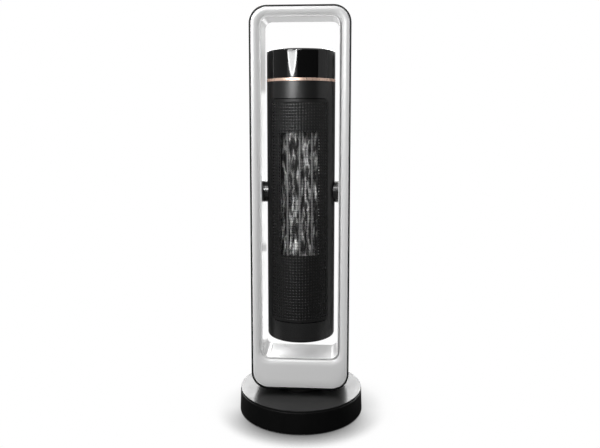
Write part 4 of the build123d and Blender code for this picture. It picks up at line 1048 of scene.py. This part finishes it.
def pierced_field_tree():
    """A flat field of pierced cells in X and Z, with wider holes inside the lattice."""
    plan, size = growth("pierced_field", Pitch="Float", Hole="Float", Lattice_Hole="Float",
                        Lattice_Half="Float", Lattice_Low="Float", Lattice_High="Float",
                        Columns="Int", Rows="Int", Finish="Material")
    wide = (size["Columns"] - 1) * size["Pitch"]
    high = (size["Rows"] - 1) * size["Pitch"]
    values = {"Size X": wide, "Size Y": high, "Vertices X": size["Columns"], "Vertices Y": size["Rows"]}
    upright = stood_up(plan, plan.node("GeometryNodeMeshGrid", {}, values)["Mesh"])
    place = plan.node("GeometryNodeInputPosition")["Position"]
    point = plan.node("ShaderNodeSeparateXYZ", {}, {"Vector": place})
    inside = (abs(point["X"]) < size["Lattice Half"]) * (point["Z"] > size["Lattice Low"])
    inside = inside * (point["Z"] < size["Lattice High"])
    cells = []
    for hole, chosen in ((size["Hole"], 1 - inside), (size["Lattice Hole"], inside)):
        cell = pierced_cell(plan, size["Pitch"], hole)
        values = {"Points": upright, "Selection": chosen, "Instance": cell}
        cells.append(plan.node("GeometryNodeInstanceOnPoints", {}, values)["Instances"])
    field = plan.node("GeometryNodeJoinGeometry", {}, {"Geometry": cells})["Geometry"]
    return grown(plan, field, size["Finish"])


def grille_border(half_width, half_height, field_x, field_z, step):
    """The panel's plain edge: pairs of points on the outline of the holes' field and on its own."""
    corner = GRILLE_CORNER
    straight_x = half_width - corner
    straight_z = half_height - corner

    def outline_x(z):
        return straight_x + math.sqrt(corner ** 2 - max(0, abs(z) - straight_z) ** 2)

    def outline_z(x):
        return straight_z + math.sqrt(corner ** 2 - max(0, abs(x) - straight_x) ** 2)

    def fan(side, end):
        """The points of the outline that belong to one corner of the field."""
        first = math.atan2(outline_z(field_x) - straight_z, field_x - straight_x)
        last = math.atan2(field_z - straight_z, outline_x(field_z) - straight_x)
        shares = [i / GRILLE_CORNER_STEPS for i in range(GRILLE_CORNER_STEPS + 1)]
        turns = [first + (last - first) * share for share in shares]
        if side != end:
            turns.reverse()
        rounds = [(straight_x + corner * math.cos(t), straight_z + corner * math.sin(t)) for t in turns]
        return [((side * field_x, end * field_z), (side * x, end * z)) for x, z in rounds]

    pairs = []
    for side in (1, -1):
        for i in range(1, round(2 * field_x / step)):
            x = side * (i * step - field_x)
            pairs.append(((x, side * field_z), (x, side * outline_z(x))))
        pairs += fan(side, side)
        for i in range(1, round(2 * field_z / step)):
            z = side * (field_z - i * step)
            pairs.append(((side * field_x, z), (side * outline_x(z), z)))
        pairs += fan(side, -side)
    return pairs


def build_grille():
    """The panel, grown flat with its border added, then bent round the drum.

    Its radius, half of the holes' angle and the holes' lowest and highest places are for the screen.
    """
    finish = grille_finish()
    low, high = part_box("front_grille")
    radius = -low.y
    half_angle = math.asin((high.x - GRILLE_SIDE_INSET) / radius)
    half_width = radius * half_angle - GRILLE_GAP
    half_height = (high.z - low.z) / 2 - GRILLE_END_INSET - GRILLE_GAP
    middle = (high.z + low.z) / 2
    field_x = GRILLE_COLUMNS * GRILLE_PITCH / 2
    field_z = GRILLE_ROWS * GRILLE_PITCH / 2
    inputs = {"Pitch": GRILLE_PITCH, "Hole": GRILLE_HOLE, "Lattice Hole": GRILLE_LATTICE_HOLE,
              "Lattice Half": LATTICE_HALF, "Lattice Low": LATTICE_LOW - middle,
              "Lattice High": LATTICE_HIGH - middle, "Columns": GRILLE_COLUMNS, "Rows": GRILLE_ROWS,
              "Finish": finish.material}
    panel = grown_mesh(pierced_field_tree(), "grille_panel", inputs)
    form = bmesh.new()
    form.from_mesh(panel.data)
    pairs = grille_border(half_width, half_height, field_x, field_z, GRILLE_PITCH / 2)
    ring = [(form.verts.new((a[0], 0, a[1])), form.verts.new((b[0], 0, b[1]))) for a, b in pairs]
    for (inner, outer), (next_inner, next_outer) in zip(ring, ring[1:] + ring[:1]):
        form.faces.new((inner, outer, next_outer, next_inner))
    bmesh.ops.remove_doubles(form, verts=form.verts, dist=GRILLE_MERGE)
    bmesh.ops.recalc_face_normals(form, faces=form.faces)
    backward = sum(face.normal.y * face.calc_area() for face in form.faces)
    if backward > 0:
        bmesh.ops.reverse_faces(form, faces=form.faces)
    for vert in form.verts:
        angle = vert.co.x / radius
        vert.co = Vector((radius * math.sin(angle), -radius * math.cos(angle), vert.co.z + middle))
    for face in form.faces:
        face.material_index = 0
    form.to_mesh(panel.data)
    form.free()
    panel.data.materials.clear()
    panel.data.materials.append(finish.material)
    wall = panel.modifiers.new("wall", "SOLIDIFY")
    wall.thickness = GRILLE_SHEET
    wall.offset = -1
    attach(panel, "drum")
    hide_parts("front_grille")
    paint(finish, "front_grille")
    return radius, field_x / radius, middle - field_z, middle + field_z


panel_sizes = build_grille()


# Screen behind the panel: a dull black curved sheet that closes the panel everywhere but in front
# of the heater, so that only the heater shows through the holes.
SCREEN_GAP = 0.0033
SCREEN_SHEET = 0.0008
SCREEN_STEPS = 9
WINDOW_ANGLE = 0.66


def build_screen(panel_radius, field_angle, field_low, field_high):
    radius = panel_radius - SCREEN_GAP
    margin = field_angle - WINDOW_ANGLE
    side = [WINDOW_ANGLE + margin * i / SCREEN_STEPS for i in range(SCREEN_STEPS + 1)]
    middle = [WINDOW_ANGLE * (i / SCREEN_STEPS - 1) for i in range(1, 2 * SCREEN_STEPS)]
    angles = [-angle for angle in reversed(side)] + middle + side
    heights = [field_low, LATTICE_LOW, LATTICE_HIGH, field_high]
    points = []
    for height in heights:
        for angle in angles:
            points.append((radius * math.sin(angle), -radius * math.cos(angle), height))
    faces = []
    for row in range(len(heights) - 1):
        for column in range(len(angles) - 1):
            inside = abs((angles[column] + angles[column + 1]) / 2) < WINDOW_ANGLE
            if heights[row] == LATTICE_LOW and inside:
                continue
            first = row * len(angles) + column
            faces.append((first, first + 1, first + 1 + len(angles), first + len(angles)))
    screen = mesh_piece("grille_screen", points, faces)
    screen.data.materials.append(dull_black.material)
    wall = screen.modifiers.new("wall", "SOLIDIFY")
    wall.thickness = SCREEN_SHEET
    wall.offset = -1
    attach(screen, "drum")


build_screen(*panel_sizes)
